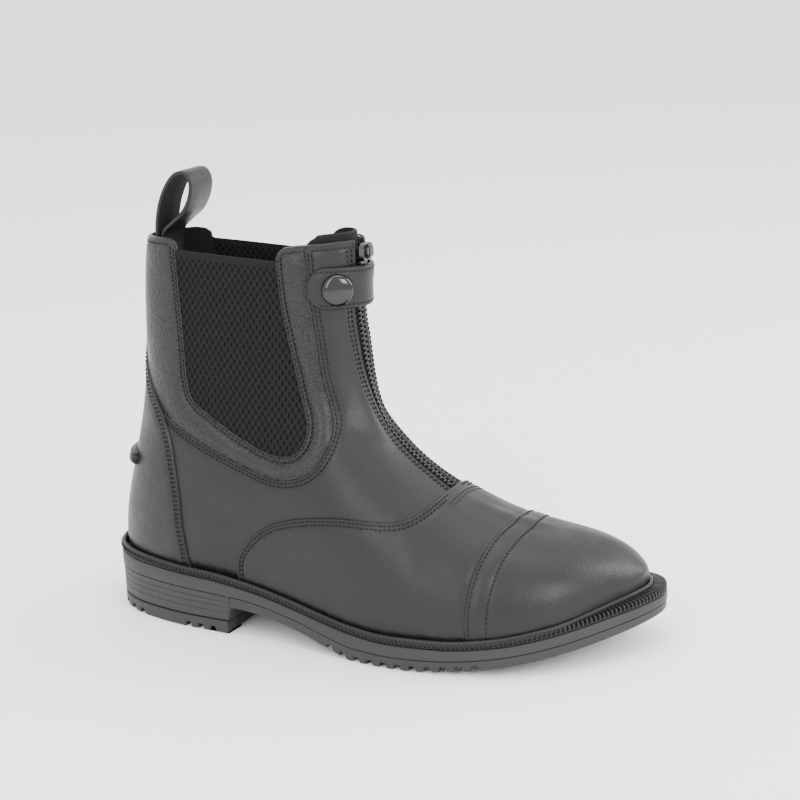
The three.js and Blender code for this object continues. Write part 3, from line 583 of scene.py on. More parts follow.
def lay_stitches(rows, length, gap, width):
    """All the stitches of several rows; a row is its points, normals and height."""
    template, template_faces = stitch_template(length, width)
    verts, faces = [], []
    for p, n, height in rows:
        if len(p) < 3:
            continue
        line = p + n * (height + crease(p))[:, None]
        step = np.linalg.norm(np.diff(line, axis=0), axis=1)
        breaks = np.where(step > 7)[0]
        for part in np.split(np.arange(len(line)), breaks + 1):
            if len(part) < 3:
                continue
            seg, nor = line[part], n[part]
            along = np.concatenate([[0], np.cumsum(np.linalg.norm(np.diff(seg, axis=0), axis=1))])
            count = int(along[-1] / (length + gap))
            for i in range(count):
                s = (i + 0.5) * along[-1] / count
                at = np.array([np.interp(s, along, seg[:, k]) for k in range(3)])
                ahead = np.array([np.interp(s + 1, along, seg[:, k]) for k in range(3)])
                behind = np.array([np.interp(s - 1, along, seg[:, k]) for k in range(3)])
                up = np.array([np.interp(s, along, nor[:, k]) for k in range(3)])
                t = ahead - behind
                t /= max(np.linalg.norm(t), 1e-9)
                up -= t * (up @ t)
                up /= np.linalg.norm(up)
                side = np.cross(up, t)
                base = len(verts) * len(template)
                verts.append(at + template @ np.stack([t, side, up]))
                faces.extend([[base + v for v in f] for f in template_faces])
    return np.vstack(verts), faces


# Materials


def tree_of(name):
    material = bpy.data.materials.new(name)
    material.use_nodes = True
    nodes, links = material.node_tree.nodes, material.node_tree.links
    shader = nodes["Principled BSDF"]
    coordinates = nodes.new("ShaderNodeTexCoord")
    return material, nodes, links, shader, coordinates


def noise(nodes, links, coordinates, scale, detail=3.0, output="Object"):
    n = nodes.new("ShaderNodeTexNoise")
    n.inputs["Scale"].default_value = scale
    n.inputs["Detail"].default_value = detail
    links.new(coordinates.outputs[output], n.inputs["Vector"])
    return n.outputs["Fac"]


def bump_chain(nodes, links, shader, layers):
    """Adds bumps one on another; a layer is a height output, a strength and a distance."""
    last = None
    for height, strength, distance in layers:
        bump = nodes.new("ShaderNodeBump")
        bump.inputs["Strength"].default_value = strength
        bump.inputs["Distance"].default_value = distance
        links.new(height, bump.inputs["Height"])
        if last is not None:
            links.new(last.outputs["Normal"], bump.inputs["Normal"])
        last = bump
    links.new(last.outputs["Normal"], shader.inputs["Normal"])


def shade(nodes, links, factor, low, high, socket, start=0.3, end=0.7):
    ramp = nodes.new("ShaderNodeMapRange")
    ramp.inputs["From Min"].default_value = start
    ramp.inputs["From Max"].default_value = end
    ramp.inputs["To Min"].default_value = low
    ramp.inputs["To Max"].default_value = high
    links.new(factor, ramp.inputs["Value"])
    links.new(ramp.outputs["Result"], socket)


def slanting(nodes, links, coordinates, scale, stretch):
    """Noise drawn out along a slanting line, for leather that is gathered by a seam."""
    mapping = nodes.new("ShaderNodeMapping")
    mapping.inputs["Rotation"].default_value = (0, math.radians(35), 0)
    mapping.inputs["Scale"].default_value = (1 / stretch, 1 / stretch, 1)
    links.new(coordinates.outputs["Object"], mapping.inputs["Vector"])
    n = nodes.new("ShaderNodeTexNoise")
    n.inputs["Scale"].default_value = scale
    n.inputs["Detail"].default_value = 3
    n.inputs["Distortion"].default_value = 0.6
    links.new(mapping.outputs["Vector"], n.inputs["Vector"])
    return n.outputs["Fac"]


def leather_material(name, colour, roughness, coat, grain, wrinkle, gathered=0.0):
    """Finished leather: fine pores, soft wrinkles and a thin wax coat."""
    material, nodes, links, shader, coordinates = tree_of(name)
    shader.inputs["Base Color"].default_value = (*colour, 1)
    shader.inputs["Coat Weight"].default_value = coat
    shader.inputs["Coat Roughness"].default_value = 0.3
    shader.inputs["Specular IOR Level"].default_value = 0.23
    pores = nodes.new("ShaderNodeTexVoronoi")
    pores.inputs["Scale"].default_value = 1150
    links.new(coordinates.outputs["Object"], pores.inputs["Vector"])
    fine = noise(nodes, links, coordinates, 520, 4)
    soft = noise(nodes, links, coordinates, 95, 3)
    broad = noise(nodes, links, coordinates, 30, 2)
    shade(nodes, links, soft, roughness - 0.07, roughness + 0.07, shader.inputs["Roughness"])
    layers = [(broad, 0.35, 0.0022 * wrinkle), (soft, 0.5, 0.0009 * wrinkle),
              (fine, 0.45, 0.00028 * grain), (pores.outputs["Distance"], 0.4, 0.00022 * grain)]
    if gathered:
        layers.append((slanting(nodes, links, coordinates, 800, 2.0), 0.9, 0.0008 * gathered))
    bump_chain(nodes, links, shader, layers)
    return material


def plain_material(name, colour, roughness, metallic=0.0, coat=0.0, grain=0.0, scale=400):
    material, nodes, links, shader, coordinates = tree_of(name)
    shader.inputs["Base Color"].default_value = (*colour, 1)
    shader.inputs["Metallic"].default_value = metallic
    shader.inputs["Coat Weight"].default_value = coat
    shader.inputs["Coat Roughness"].default_value = 0.06
    shader.inputs["Specular IOR Level"].default_value = 0.5 if coat or metallic else 0.25
    value = noise(nodes, links, coordinates, scale, 4)
    shade(nodes, links, value, max(roughness - 0.05, 0.02), roughness + 0.05,
          shader.inputs["Roughness"])
    if grain:
        bump_chain(nodes, links, shader, [(value, 0.6, grain)])
    return material


def maths(nodes, links, operation, a, b=None):
    node = nodes.new("ShaderNodeMath")
    node.operation = operation
    for socket, value in zip(node.inputs, (a, b)):
        if value is None:
            continue
        if isinstance(value, (int, float)):
            socket.default_value = value
        else:
            links.new(value, socket)
    return node.outputs[0]


def elastic_material(name, colour, across, down):
    """Ribbed elastic with rows of short sunk dashes, each row set off by half a step; the colour is
    painted darker in the sunk dashes as shade and lighter on the ribs between them.

    Its coordinates are millimetres: across the panel and down from its top edge.
    """
    material, nodes, links, shader, coordinates = tree_of(name)
    shader.inputs["Roughness"].default_value = 0.9
    shader.inputs["Specular IOR Level"].default_value = 0.12
    split_uv = nodes.new("ShaderNodeSeparateXYZ")
    links.new(coordinates.outputs["UV"], split_uv.inputs[0])
    u, v = split_uv.outputs[0], split_uv.outputs[1]
    rows = maths(nodes, links, "DIVIDE", v, down)
    shift = maths(nodes, links, "MULTIPLY", maths(nodes, links, "FLOOR", rows), 0.5)
    columns = maths(nodes, links, "ADD", maths(nodes, links, "DIVIDE", u, across), shift)
    fu = maths(nodes, links, "ABSOLUTE", maths(nodes, links, "SUBTRACT",
               maths(nodes, links, "FRACT", columns), 0.5))
    fv = maths(nodes, links, "ABSOLUTE", maths(nodes, links, "SUBTRACT",
               maths(nodes, links, "FRACT", rows), 0.5))
    in_u = nodes.new("ShaderNodeMapRange")
    in_v = nodes.new("ShaderNodeMapRange")
    for node, value, start, end in ((in_u, fu, 0.19, 0.09), (in_v, fv, 0.47, 0.33)):
        node.inputs["From Min"].default_value = start
        node.inputs["From Max"].default_value = end
        links.new(value, node.inputs["Value"])
    top = nodes.new("ShaderNodeMapRange")
    top.inputs["From Min"].default_value = 3.4
    top.inputs["From Max"].default_value = 3.8
    links.new(v, top.inputs["Value"])
    dash = maths(nodes, links, "MULTIPLY", maths(nodes, links, "MULTIPLY",
                 in_u.outputs[0], in_v.outputs[0]), top.outputs[0])
    wave = maths(nodes, links, "SINE", maths(nodes, links, "MULTIPLY", u, 6.6))
    # painted shade: the sunk dashes take 0.3 of the colour, the ribs between them 1.3 of it
    painted_dash_shade = nodes.new("ShaderNodeMix")
    painted_dash_shade.data_type = "RGBA"
    painted_dash_shade.inputs["A"].default_value = (*(1.3 * c for c in colour), 1)
    painted_dash_shade.inputs["B"].default_value = (*(0.3 * c for c in colour), 1)
    links.new(dash, painted_dash_shade.inputs["Factor"])
    links.new(painted_dash_shade.outputs["Result"], shader.inputs["Base Color"])
    sunk = maths(nodes, links, "SUBTRACT", 1.0, dash)
    fibre = noise(nodes, links, coordinates, 1400, 3)
    bump_chain(nodes, links, shader, [(wave, 0.3, 0.0002), (sunk, 1.0, 0.0008),
                                      (fibre, 0.4, 0.0002)])
    return material


class BOOT_PG_sizes(bpy.types.PropertyGroup):
    """Settable sizes of the boot's sewn and moulded details."""
    stitch_length: bpy.props.FloatProperty(
        name="Stitch length", description="Length of one visible stitch",
        default=0.0016, unit="LENGTH", subtype="DISTANCE")
    stitch_gap: bpy.props.FloatProperty(
        name="Stitch gap", description="Space between two stitches",
        default=0.0006, unit="LENGTH", subtype="DISTANCE")
    thread_width: bpy.props.FloatProperty(
        name="Thread width", description="Thickness of the sewing thread",
        default=0.00055, unit="LENGTH", subtype="DISTANCE")
    band_padding: bpy.props.FloatProperty(
        name="Band padding", description="Height of the soft band round the elastic",
        default=0.0018, unit="LENGTH", subtype="DISTANCE")
    welt_tooth: bpy.props.FloatProperty(
        name="Welt tooth", description="Distance between two teeth of the welt",
        default=0.0022, unit="LENGTH", subtype="DISTANCE")
    zip_tooth: bpy.props.FloatProperty(
        name="Zip tooth", description="Distance between two teeth of the zip",
        default=0.0012, unit="LENGTH", subtype="DISTANCE")


class BOOT_PG_colours(bpy.types.PropertyGroup):
    """Settable colours of the boot."""
    leather: bpy.props.FloatVectorProperty(
        name="Leather", description="Colour of the smooth leather", subtype="COLOR",
        size=3, default=(0.0078, 0.008, 0.0082))
    soft_leather: bpy.props.FloatVectorProperty(
        name="Soft leather", description="Colour of the padded band", subtype="COLOR",
        size=3, default=(0.009, 0.009, 0.0092))
    elastic: bpy.props.FloatVectorProperty(
        name="Elastic", description="Colour of the side panels", subtype="COLOR",
        size=3, default=(0.007, 0.007, 0.0072))
    rubber: bpy.props.FloatVectorProperty(
        name="Rubber", description="Colour of the sole", subtype="COLOR",
        size=3, default=(0.026, 0.026, 0.0265))
    felt: bpy.props.FloatVectorProperty(
        name="Felt", description="Colour of the lining", subtype="COLOR",
        size=3, default=(0.008, 0.008, 0.0085))


def sizes(context):
    return context.scene.boot_sizes


LOOKS = {}


def look(name):
    """A material by its short name, made once."""
    if name in LOOKS:
        return LOOKS[name]
    colours = bpy.context.scene.boot_colours
    if name == "leather":
        made = leather_material("leather", colours.leather, 0.44, 0.12, 1.0, 0.8)
    elif name == "soft":
        made = leather_material("soft_leather", colours.soft_leather, 0.34, 0.2, 6.0, 1.0, 2.0)
    elif name == "elastic":
        made = elastic_material("elastic", colours.elastic, 3.4, 2.5)
    elif name == "rubber":
        made = plain_material("rubber", colours.rubber, 0.52, grain=0.00012, scale=600)
    elif name == "welt":
        made = plain_material("welt_rubber", (0.010, 0.010, 0.0102), 0.45, grain=0.00012, scale=600)
    elif name == "felt":
        made = plain_material("felt", colours.felt, 0.95, grain=0.0005, scale=900)
    elif name == "thread":
        made = plain_material("thread", (0.006, 0.006, 0.0062), 0.6, grain=0.0001, scale=1500)
    elif name == "teeth":
        made = plain_material("zip_teeth", (0.012, 0.012, 0.013), 0.4, scale=300)
    elif name == "nickel":
        made = plain_material("nickel", (0.07, 0.07, 0.073), 0.27, metallic=1.0, scale=200)
    elif name == "snap":
        made = plain_material("snap_nickel", (0.045, 0.045, 0.047), 0.11, metallic=1.0, scale=200)
    else:
        made = plain_material("gloss", (0.004, 0.004, 0.0045), 0.07, coat=1.0, scale=20)
    LOOKS[name] = made
    return made


# Regions of the form, positive inside, in millimetres

GUSSET_OUTLINE = spline(GUSSET_EDGE, 90)
BAND_LINE = spline(BAND_EDGE, 100)
BAND_OUTLINE = np.vstack([BAND_LINE, [(-20, 134), (-20, 230), (121, 230)]])
COUNTER_OUTLINE = np.vstack([spline(COUNTER_EDGE, 50), [(-30, 16), (-30, 140)]])
VAMP_LINE = spline(VAMP_EDGE, 80)
VAMP_OUTLINE = np.vstack([VAMP_LINE, [(186.4, 130), (340, 130), (340, -30), (100, -30)]])
CAP_LINE = spline(CAP_EDGE, 60)
CAP_OUTLINE = np.vstack([CAP_LINE[:, ::-1], [(340, 80), (340, -70)]])
FLAP_OUTLINE = spline(FLAP_EDGE + FLAP_EDGE[:1], 120)[:-1]
SLOT_HALF = 4.2
ZIP_FOOT_X = 184.0


def collar_height(x):
    return np.interp(x, [r[0] for r in COLLAR_LINE], [r[1] for r in COLLAR_LINE])


def below_collar(p):
    return collar_height(p[:, 0]) - p[:, 2]


def above_sole(p):
    return p[:, 2] - sole_top(clamp(p[:, 0], 0, SOLE_LENGTH)) - 0.3


def in_side(p, outline):
    return polygon_distance(p[:, 0], p[:, 2], outline)


def slot_distance(p, half):
    """Positive outside the zip's slot."""
    foot = p[:, 0] - ZIP_FOOT_X
    across = np.abs(p[:, 1] - zip_middle(p[:, 0])) - half
    return np.where(p[:, 0] < 110, 60, np.maximum(across, foot))


def gusset_distance(p):
    return in_side(p, GUSSET_OUTLINE)


def shell_region(p):
    return np.minimum.reduce([below_collar(p), above_sole(p), -gusset_distance(p),
                              slot_distance(p, SLOT_HALF + 0.5)])


def quarter_region(p):
    return np.minimum.reduce([below_collar(p), above_sole(p), -in_side(p, BAND_OUTLINE),
                              slot_distance(p, SLOT_HALF)])


def vamp_region(p):
    cap = polygon_distance(p[:, 0], p[:, 1], CAP_OUTLINE + np.array([3.0, 0.0]))
    return np.minimum.reduce([above_sole(p), in_side(p, VAMP_OUTLINE), -cap])


def cap_region(p):
    return np.minimum(above_sole(p), polygon_distance(p[:, 0], p[:, 1], CAP_OUTLINE))


def counter_region(p):
    return np.minimum(above_sole(p), in_side(p, COUNTER_OUTLINE))


def strap_region(p):
    """Rounded end on the outer side, straight end on the inner side."""
    low, high = STRAP_LOW_Z, STRAP_LOW_Z + STRAP_HEIGHT
    band = np.minimum(p[:, 2] - low, high - p[:, 2])
    half = STRAP_HEIGHT / 2
    centre = STRAP_END_X + STRAP_HEIGHT / 2.4
    u = clamp((centre - p[:, 0]) / (STRAP_HEIGHT / 2.4), 0, 9)
    v = (p[:, 2] - low - half) / half
    round_end = (1 - np.sqrt(u * u + v * v)) * half
    outer = np.where(p[:, 0] < centre, round_end, band)
    inner = np.minimum(band, p[:, 0] - 121)
    return np.where(p[:, 0] < 100, -50, np.where(p[:, 1] < 0, outer, inner))


def strap_lift(p):
    return 2.3 * np.exp(-((p[:, 1] / 8.5) ** 2))


def seam_trough(rows, depth, width=0.8):
    """Leather drawn in along the sewn rows."""
    return lambda p, d: -depth * sum(np.exp(-(((d - r) / width) ** 2)) for r in rows)


class BOOT_OT_shell(bpy.types.Operator):
    """Padded band, quarters and felt lining of the upper."""
    bl_idname = "boot.shell"
    bl_label = "Upper Shell"

    def execute(self, context):
        padding = sizes(context).band_padding / MM

        def puff(p, d):
            g = np.maximum(-gusset_distance(p), 0)
            b = np.maximum(in_side(p, BAND_OUTLINE), 0)
            start = np.maximum(np.minimum(g, d + 0.5) - 3.6, 0)
            t = clamp(start / (start + b + 1e-6), 0, 1)
            room = clamp((start + b) / 9, 0, 1)
            soft = padding * np.sin(np.pi * t) ** 0.6 * room
            rows = -0.3 * (np.exp(-(((d - 1.3) / 0.5) ** 2)) + np.exp(-(((d - 3.0) / 0.6) ** 2)))
            return np.where(b > 0, soft + rows, 0)

        levels = (0.2, 0.6, 1.0, 1.3, 1.7, 2.4, 3.0, 3.6, 4.4, 5.4)
        verts, faces, kind = panel(shell_region, -WALL, 0.0, levels, 1.3, puff)
        make("upper_shell", verts, faces, [look("soft"), look("felt")],
             ["upper"], kind)
        levels = (0.2, 0.6, 1.1, 1.7, 2.3, 3.0, 3.6, 4.2)
        trough = seam_trough((1.6, 3.2), 0.40)
        verts, faces, _ = panel(quarter_region, -0.2, QUARTER_RISE, levels, 1.0, trough)
        make("quarters", verts, faces, [look("leather")], ["upper"])
        return {"FINISHED"}


class BOOT_OT_overlays(bpy.types.Operator):
    """Vamp, toe cap, heel counter and the small ledge on the back seam."""
    bl_idname = "boot.overlays"
    bl_label = "Vamp, Cap and Counter"

    def execute(self, context):
        levels = (0.2, 0.6, 1.1, 1.7, 2.3, 3.0, 3.7)
        trough = seam_trough((1.7, 3.3), 0.40)
        verts, faces, _ = panel(vamp_region, QUARTER_RISE - 0.2, OVERLAY_HIGH, levels, 1.1, trough)
        make("vamp_panel", verts, faces, [look("leather")], ["vamp"])
        levels = (0.2, 0.6, 1.1, 1.8, 2.6, 4, 5.5, 7, 8, 8.8, 9.6, 10.4, 11.4)

        def pucker(p, d):
            front = clamp((p[:, 0] - 190) / 10, 0, 1)
            between = 0.35 * np.exp(-(((d - 5.4) / 2.6) ** 2))
            rows = -0.3 * (np.exp(-(((d - 1.8) / 0.8) ** 2)) + np.exp(-(((d - 9.2) / 1.0) ** 2)))
            return front * (between + rows) * (above_sole(p) > d + 1)

        verts, faces, _ = panel(cap_region, QUARTER_RISE, CAP_HIGH, levels, 1.2, pucker)
        make("toe_cap_panel", verts, faces, [look("leather")], ["toe_cap"])
        levels = (0.2, 0.6, 1.1, 1.7, 2.3, 3.0, 3.7)
        verts, faces, _ = panel(counter_region, QUARTER_RISE - 1.2, OVERLAY_HIGH, levels, 1.1, trough)
        make("counter_panel", verts, faces, [look("leather")], ["heel_counter"])
        spur_z = 77.6
        spur = [(-10, 73.4), (20, 73.4), (24, 75), (25, spur_z), (24, 80.2), (20, 81.8), (-10, 81.8)]

        def spur_top(p):
            return OVERLAY_HIGH + 1.2 + 2.1 * (1 - smooth(1.4, 4.2, np.abs(p[:, 2] - spur_z)))

        verts, faces, _ = panel(lambda p: in_side(p, spur), OVERLAY_HIGH - 0.3, spur_top,
                                (0.3, 0.8, 1.6, 2.6, 3.4))
        make("spur_ledge", verts, faces, [look("leather")], ["spur_rest"])
        return {"FINISHED"}


class BOOT_OT_elastic(bpy.types.Operator):
    """Elastic side panels and the felt flap behind the zip."""
    bl_idname = "boot.elastic"
    bl_label = "Elastic and Flap"

    def execute(self, context):
        for sign, name in ((-1, "outer"), (1, "inner")):
            def region(p):
                side = p[:, 1] * sign - 3
                return np.minimum.reduce([gusset_distance(p) + 1.2, below_collar(p) - 0.6, side])

            verts, faces, _ = panel(region, -2.0, -0.7, (0.3, 0.8), 0.8)
            top = np.interp(verts[:, 0], [50, 106], [184.6, 181.4])
            uv = np.stack([verts[:, 0], top - verts[:, 2]], axis=1)
            make(f"elastic_{name}", verts, faces, [look("elastic")],
                 [f"gusset_{name}"], uv=uv)

        def flap(p):
            return np.minimum(in_side(p, FLAP_OUTLINE), p[:, 0] - 110)

        verts, faces, _ = panel(flap, -WALL - 1.9, -WALL - 0.3, (0.3, 0.8, 1.6), 0.8)
        make("zip_flap", verts, faces, [look("felt")], ["inner_flap"])
        return {"FINISHED"}


def sole_ring(count):
    line = spline(SOLE_POINTS, count, True)
    t = np.roll(line, -1, axis=0) - np.roll(line, 1, axis=0)
    t /= np.linalg.norm(t, axis=1)[:, None]
    return line, np.stack([-t[:, 1], t[:, 0]], axis=1)


def ring_solid(rows):
    """Closed solid from stacked closed rings, its ends filled by rungs across the ring."""
    count = len(rows[0])
    verts = np.vstack(rows)
    faces = []
    for i in range(len(rows) - 1):
        a, b = i * count, (i + 1) * count
        faces += [[a + j, a + (j + 1) % count, b + (j + 1) % count, b + j] for j in range(count)]
    for start, flip in ((0, True), ((len(rows) - 1) * count, False)):
        for j in range(count // 2):
            quad = [start + j, start + j + 1, start + count - 2 - j, start + count - 1 - j]
            quad = list(dict.fromkeys(quad))
            if len(quad) > 2:
                faces.append(quad[::-1] if flip else quad)
    return verts, faces


def notch_mask(x, places, width):
    """1 in the tread's notches, 0 between them."""
    d = np.min(np.abs(x[:, None] - np.asarray(places)[None, :]), axis=1)
    return 1 - smooth(width / 2 - 0.3, width / 2 + 0.3, d)


TREAD_NOTCH = (139, 146.4, 153.8, 161.2, 168.6, 176, 183.4, 190.8, 198.2, 205.6, 213)
HEEL_NOTCH = (9, 16.5, 24, 55.5, 63, 70.5)


class BOOT_OT_sole(bpy.types.Operator):
    """Rubber sole with its side line, heel block and tread, and the toothed welt."""
    bl_idname = "boot.sole"
    bl_label = "Sole and Welt"

    def execute(self, context):
        line, inward = sole_ring(1100)
        x = line[:, 0]
        top = sole_top(x)
        heel = 1 - smooth(HEEL_BREAST_X - 0.4, HEEL_BREAST_X + 1.6, x)
        under = mix(under_sole(x), HEEL_LIFT_HEIGHT + 0.15, heel)
        cut = notch_mask(x, TREAD_NOTCH, 3.4) * (1 - heel) * 2.2
        middle = mix(under, top, np.where(x < HEEL_BREAST_X, 0.66, 0.5))

        def row(inset, z):
            q = line + inward * np.broadcast_to(inset, x.shape)[:, None]
            return np.column_stack([q, z])

        rows = [row(15, under), row(13.2, under), row(12.8, under + cut), row(2.2, under + cut),
                row(0.9, under + 0.25 + cut), row(0.4, under + 0.9 + cut)]
        fine = 0.26 * (1 - smooth(60, 120, x))
        for share in (0.3, 0.55, 0.78):
            z = mix(under + 0.9 + cut, middle - 0.35, share)
            rows += [row(0.36, z - 0.2), row(0.34 + fine, z), row(0.33, z + 0.2)]
        rows += [row(0.3, middle - 0.35), row(0.8, middle - 0.05), row(0.75, middle + 0.1),
                 row(0.05, middle + 0.35), row(0.0, middle + 0.6), row(0.0, top - 0.9),
                 row(0.25, top - 0.3), row(0.9, top), row(6, top)]
        verts, faces = ring_solid(rows)
        make("sole_body", verts, faces, [look("rubber")], ["outsole"], sharp=32)

        line, inward = sole_ring(1100)
        keep = line[:, 0] < HEEL_BREAST_X - 0.5
        start = np.where(keep & ~np.roll(keep, 1))[0][0]
        order = np.roll(np.arange(len(line)), -start)
        order = order[keep[order]]
        arc, arc_in = line[order], inward[order]
        breast_a, breast_b = arc[-1], arc[0]
        t = np.linspace(0, 1, 40)[1:-1, None]
        close = breast_a * (1 - t) + breast_b * t
        plan = np.vstack([arc, close])
        normal = np.vstack([arc_in, np.tile([-1.0, 0.0], (len(close), 1))])
        cut = notch_mask(plan[:, 0], HEEL_NOTCH, 3.4) * 2.5
        cut[len(arc):] = 0
        height = HEEL_LIFT_HEIGHT - 0.15

        def lift_row(inset, z):
            return np.column_stack([plan + normal * inset, np.broadcast_to(z, len(plan))])

        rows = [lift_row(13.2, 0), lift_row(12.8, cut), lift_row(2.0, cut),
                lift_row(0.9, cut + 0.2), lift_row(0.4, cut + 0.8), lift_row(0.3, height - 0.5),
                lift_row(0.8, height)]
        verts = np.vstack(rows)
        count = len(plan)
        faces = []
        for i in range(len(rows) - 1):
            a, b = i * count, (i + 1) * count
            faces += [[a + j, a + (j + 1) % count, b + (j + 1) % count, b + j]
                      for j in range(count)]
        centre = plan.mean(axis=0)
        verts = np.vstack([verts, [[*centre, 0.0]], [[*centre, height]]])
        low, high = len(verts) - 2, len(verts) - 1
        last = (len(rows) - 1) * count
        faces += [[low, (j + 1) % count, j] for j in range(count)]
        faces += [[high, last + j, last + (j + 1) % count] for j in range(count)]
        make("heel_block", verts, faces, [look("rubber")], ["heel_lift"], sharp=32)
        self.welt(context)
        return {"FINISHED"}

    def welt(self, context):
        """Toothed strip on the sole with a smooth bead against the leather."""
        per_tooth = 9
        rough, _ = sole_ring(400)
        length = np.linalg.norm(np.roll(rough, -1, axis=0) - rough, axis=1).sum()
        teeth = int(length / (sizes(context).welt_tooth / MM))
        line, inward = sole_ring(teeth * per_tooth)
        x = line[:, 0]
        phase = (np.arange(len(line)) % per_tooth) / per_tooth
        tooth = smooth(0.12, 0.28, phase) * (1 - smooth(0.72, 0.88, phase))
        base = sole_top(x) + 0.3
        low, high = np.zeros(len(x)), np.full(len(x), 16.0)
        for _ in range(14):
            m = (low + high) / 2
            q = line + inward * m[:, None]
            outside = last_field(q[:, 0], q[:, 1], base + 3) > CAP_HIGH + 0.2
            low, high = np.where(outside, m, low), np.where(outside, high, m)
        seat = low

        def row(inset, z):
            q = line + inward * np.broadcast_to(inset, x.shape)[:, None]
            return np.column_stack([q, z])

        deep = 1.5 * (1 - tooth)
        rows = [row(5, base), row(0.5, base), row(0.15 + deep * 0.3, base + 0.3),
                row(0.1 + deep, base + 1.0), row(0.1 + deep, base + 1.9),
                row(0.5 + deep, base + 2.6 - 0.9 * (1 - tooth)),
                row(np.minimum(1.2 + deep, seat - 2.5), base + 3.0 - 1.7 * (1 - tooth)),
                row(seat - 2.4, base + 2.9 - 1.4 * (1 - tooth)), row(seat - 2.1, base + 1.6)]
        for k in range(1, 8):
            a = math.pi * (1.05 - k / 7.5)
            rows.append(row(seat - 0.95 + 1.1 * math.cos(a), base + 3.0 + 1.25 * math.sin(a)))
        rows.append(row(seat + 0.5, base + 2.4))
        rows.append(row(seat + 1.0, base))
        count = len(line)
        verts = np.vstack(rows)
        faces = []
        for i in range(len(rows)):
            a, b = i * count, ((i + 1) % len(rows)) * count
            faces += [[a + j, a + (j + 1) % count, b + (j + 1) % count, b + j]
                      for j in range(count)]
        make("welt_strip", verts, faces, [look("welt")], ["welt"], sharp=50)


class BOOT_OT_zip(bpy.types.Operator):
    """Zip tape and teeth down the front, its slider and pull tab."""
    bl_idname = "boot.zip"
    bl_label = "Front Zip"

    def execute(self, context):
        def tape(p):
            return np.minimum.reduce([-slot_distance(p, SLOT_HALF + 0.6), below_collar(p) - 4,
                                      p[:, 2] - 72, p[:, 0] - 120])

        verts, faces, _ = panel(tape, -1.4, -0.5, (0.3,), 0.5)
        make("zip_tape", verts, faces, [look("felt")], ["zip_chain"])
        hits = front_cast(0.0, 73, 186, 0.5)
        p, n = arrays(hits)
        line = p + n * (0.1 + crease(p))[:, None]
        along = np.concatenate([[0], np.cumsum(np.linalg.norm(np.diff(line, axis=0), axis=1))])
        step = sizes(context).zip_tooth / MM
        verts, faces = [], []
        half, tall, thick = 1.75, 0.46, 0.62
        box = np.array([(u, v, w) for w, s in ((-0.5, 1.0), (thick - 0.2, 1.0), (thick, 0.7))
                        for u, v in ((-half * s, -tall * s), (half * s, -tall * s),
                                     (half * s, tall * s), (-half * s, tall * s))])
        box_faces = [[3, 2, 1, 0], [8, 9, 10, 11]]
        for ring in (0, 4):
            box_faces += [[ring + k, ring + (k + 1) % 4, ring + 4 + (k + 1) % 4, ring + 4 + k]
                          for k in range(4)]
        for i in range(int(along[-1] / step)):
            s = (i + 0.5) * step
            at = np.array([np.interp(s, along, line[:, k]) for k in range(3)])
            t = np.array([np.interp(s + 1, along, line[:, k]) - np.interp(s - 1, along, line[:, k])
                          for k in range(3)])
            t /= np.linalg.norm(t)
            up = np.array([np.interp(s, along, n[:, k]) for k in range(3)])
            up -= t * (up @ t)
            up /= np.linalg.norm(up)
            side = np.cross(t, up)
            shift = 1.05 if i % 2 else -1.05
            local = box + np.array([shift, 0, 0])
            base = len(verts) * len(box)
            verts.append(at + local @ np.stack([side, t, up]))
            faces += [[base + v for v in f] for f in box_faces]
        make("zip_teeth_row", np.vstack(verts), faces, [look("teeth")],
             ["zip_chain"], sharp=30)
        for node in ("zip_slider", "zip_pull"):
            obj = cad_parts[node]
            obj.data.materials.clear()
            obj.data.materials.append(look("nickel"))
            bevel = obj.modifiers.new("bevel", "BEVEL")
            bevel.width = 0.0003
            bevel.segments = 3
            bevel.limit_method = "ANGLE"
        return {"FINISHED"}


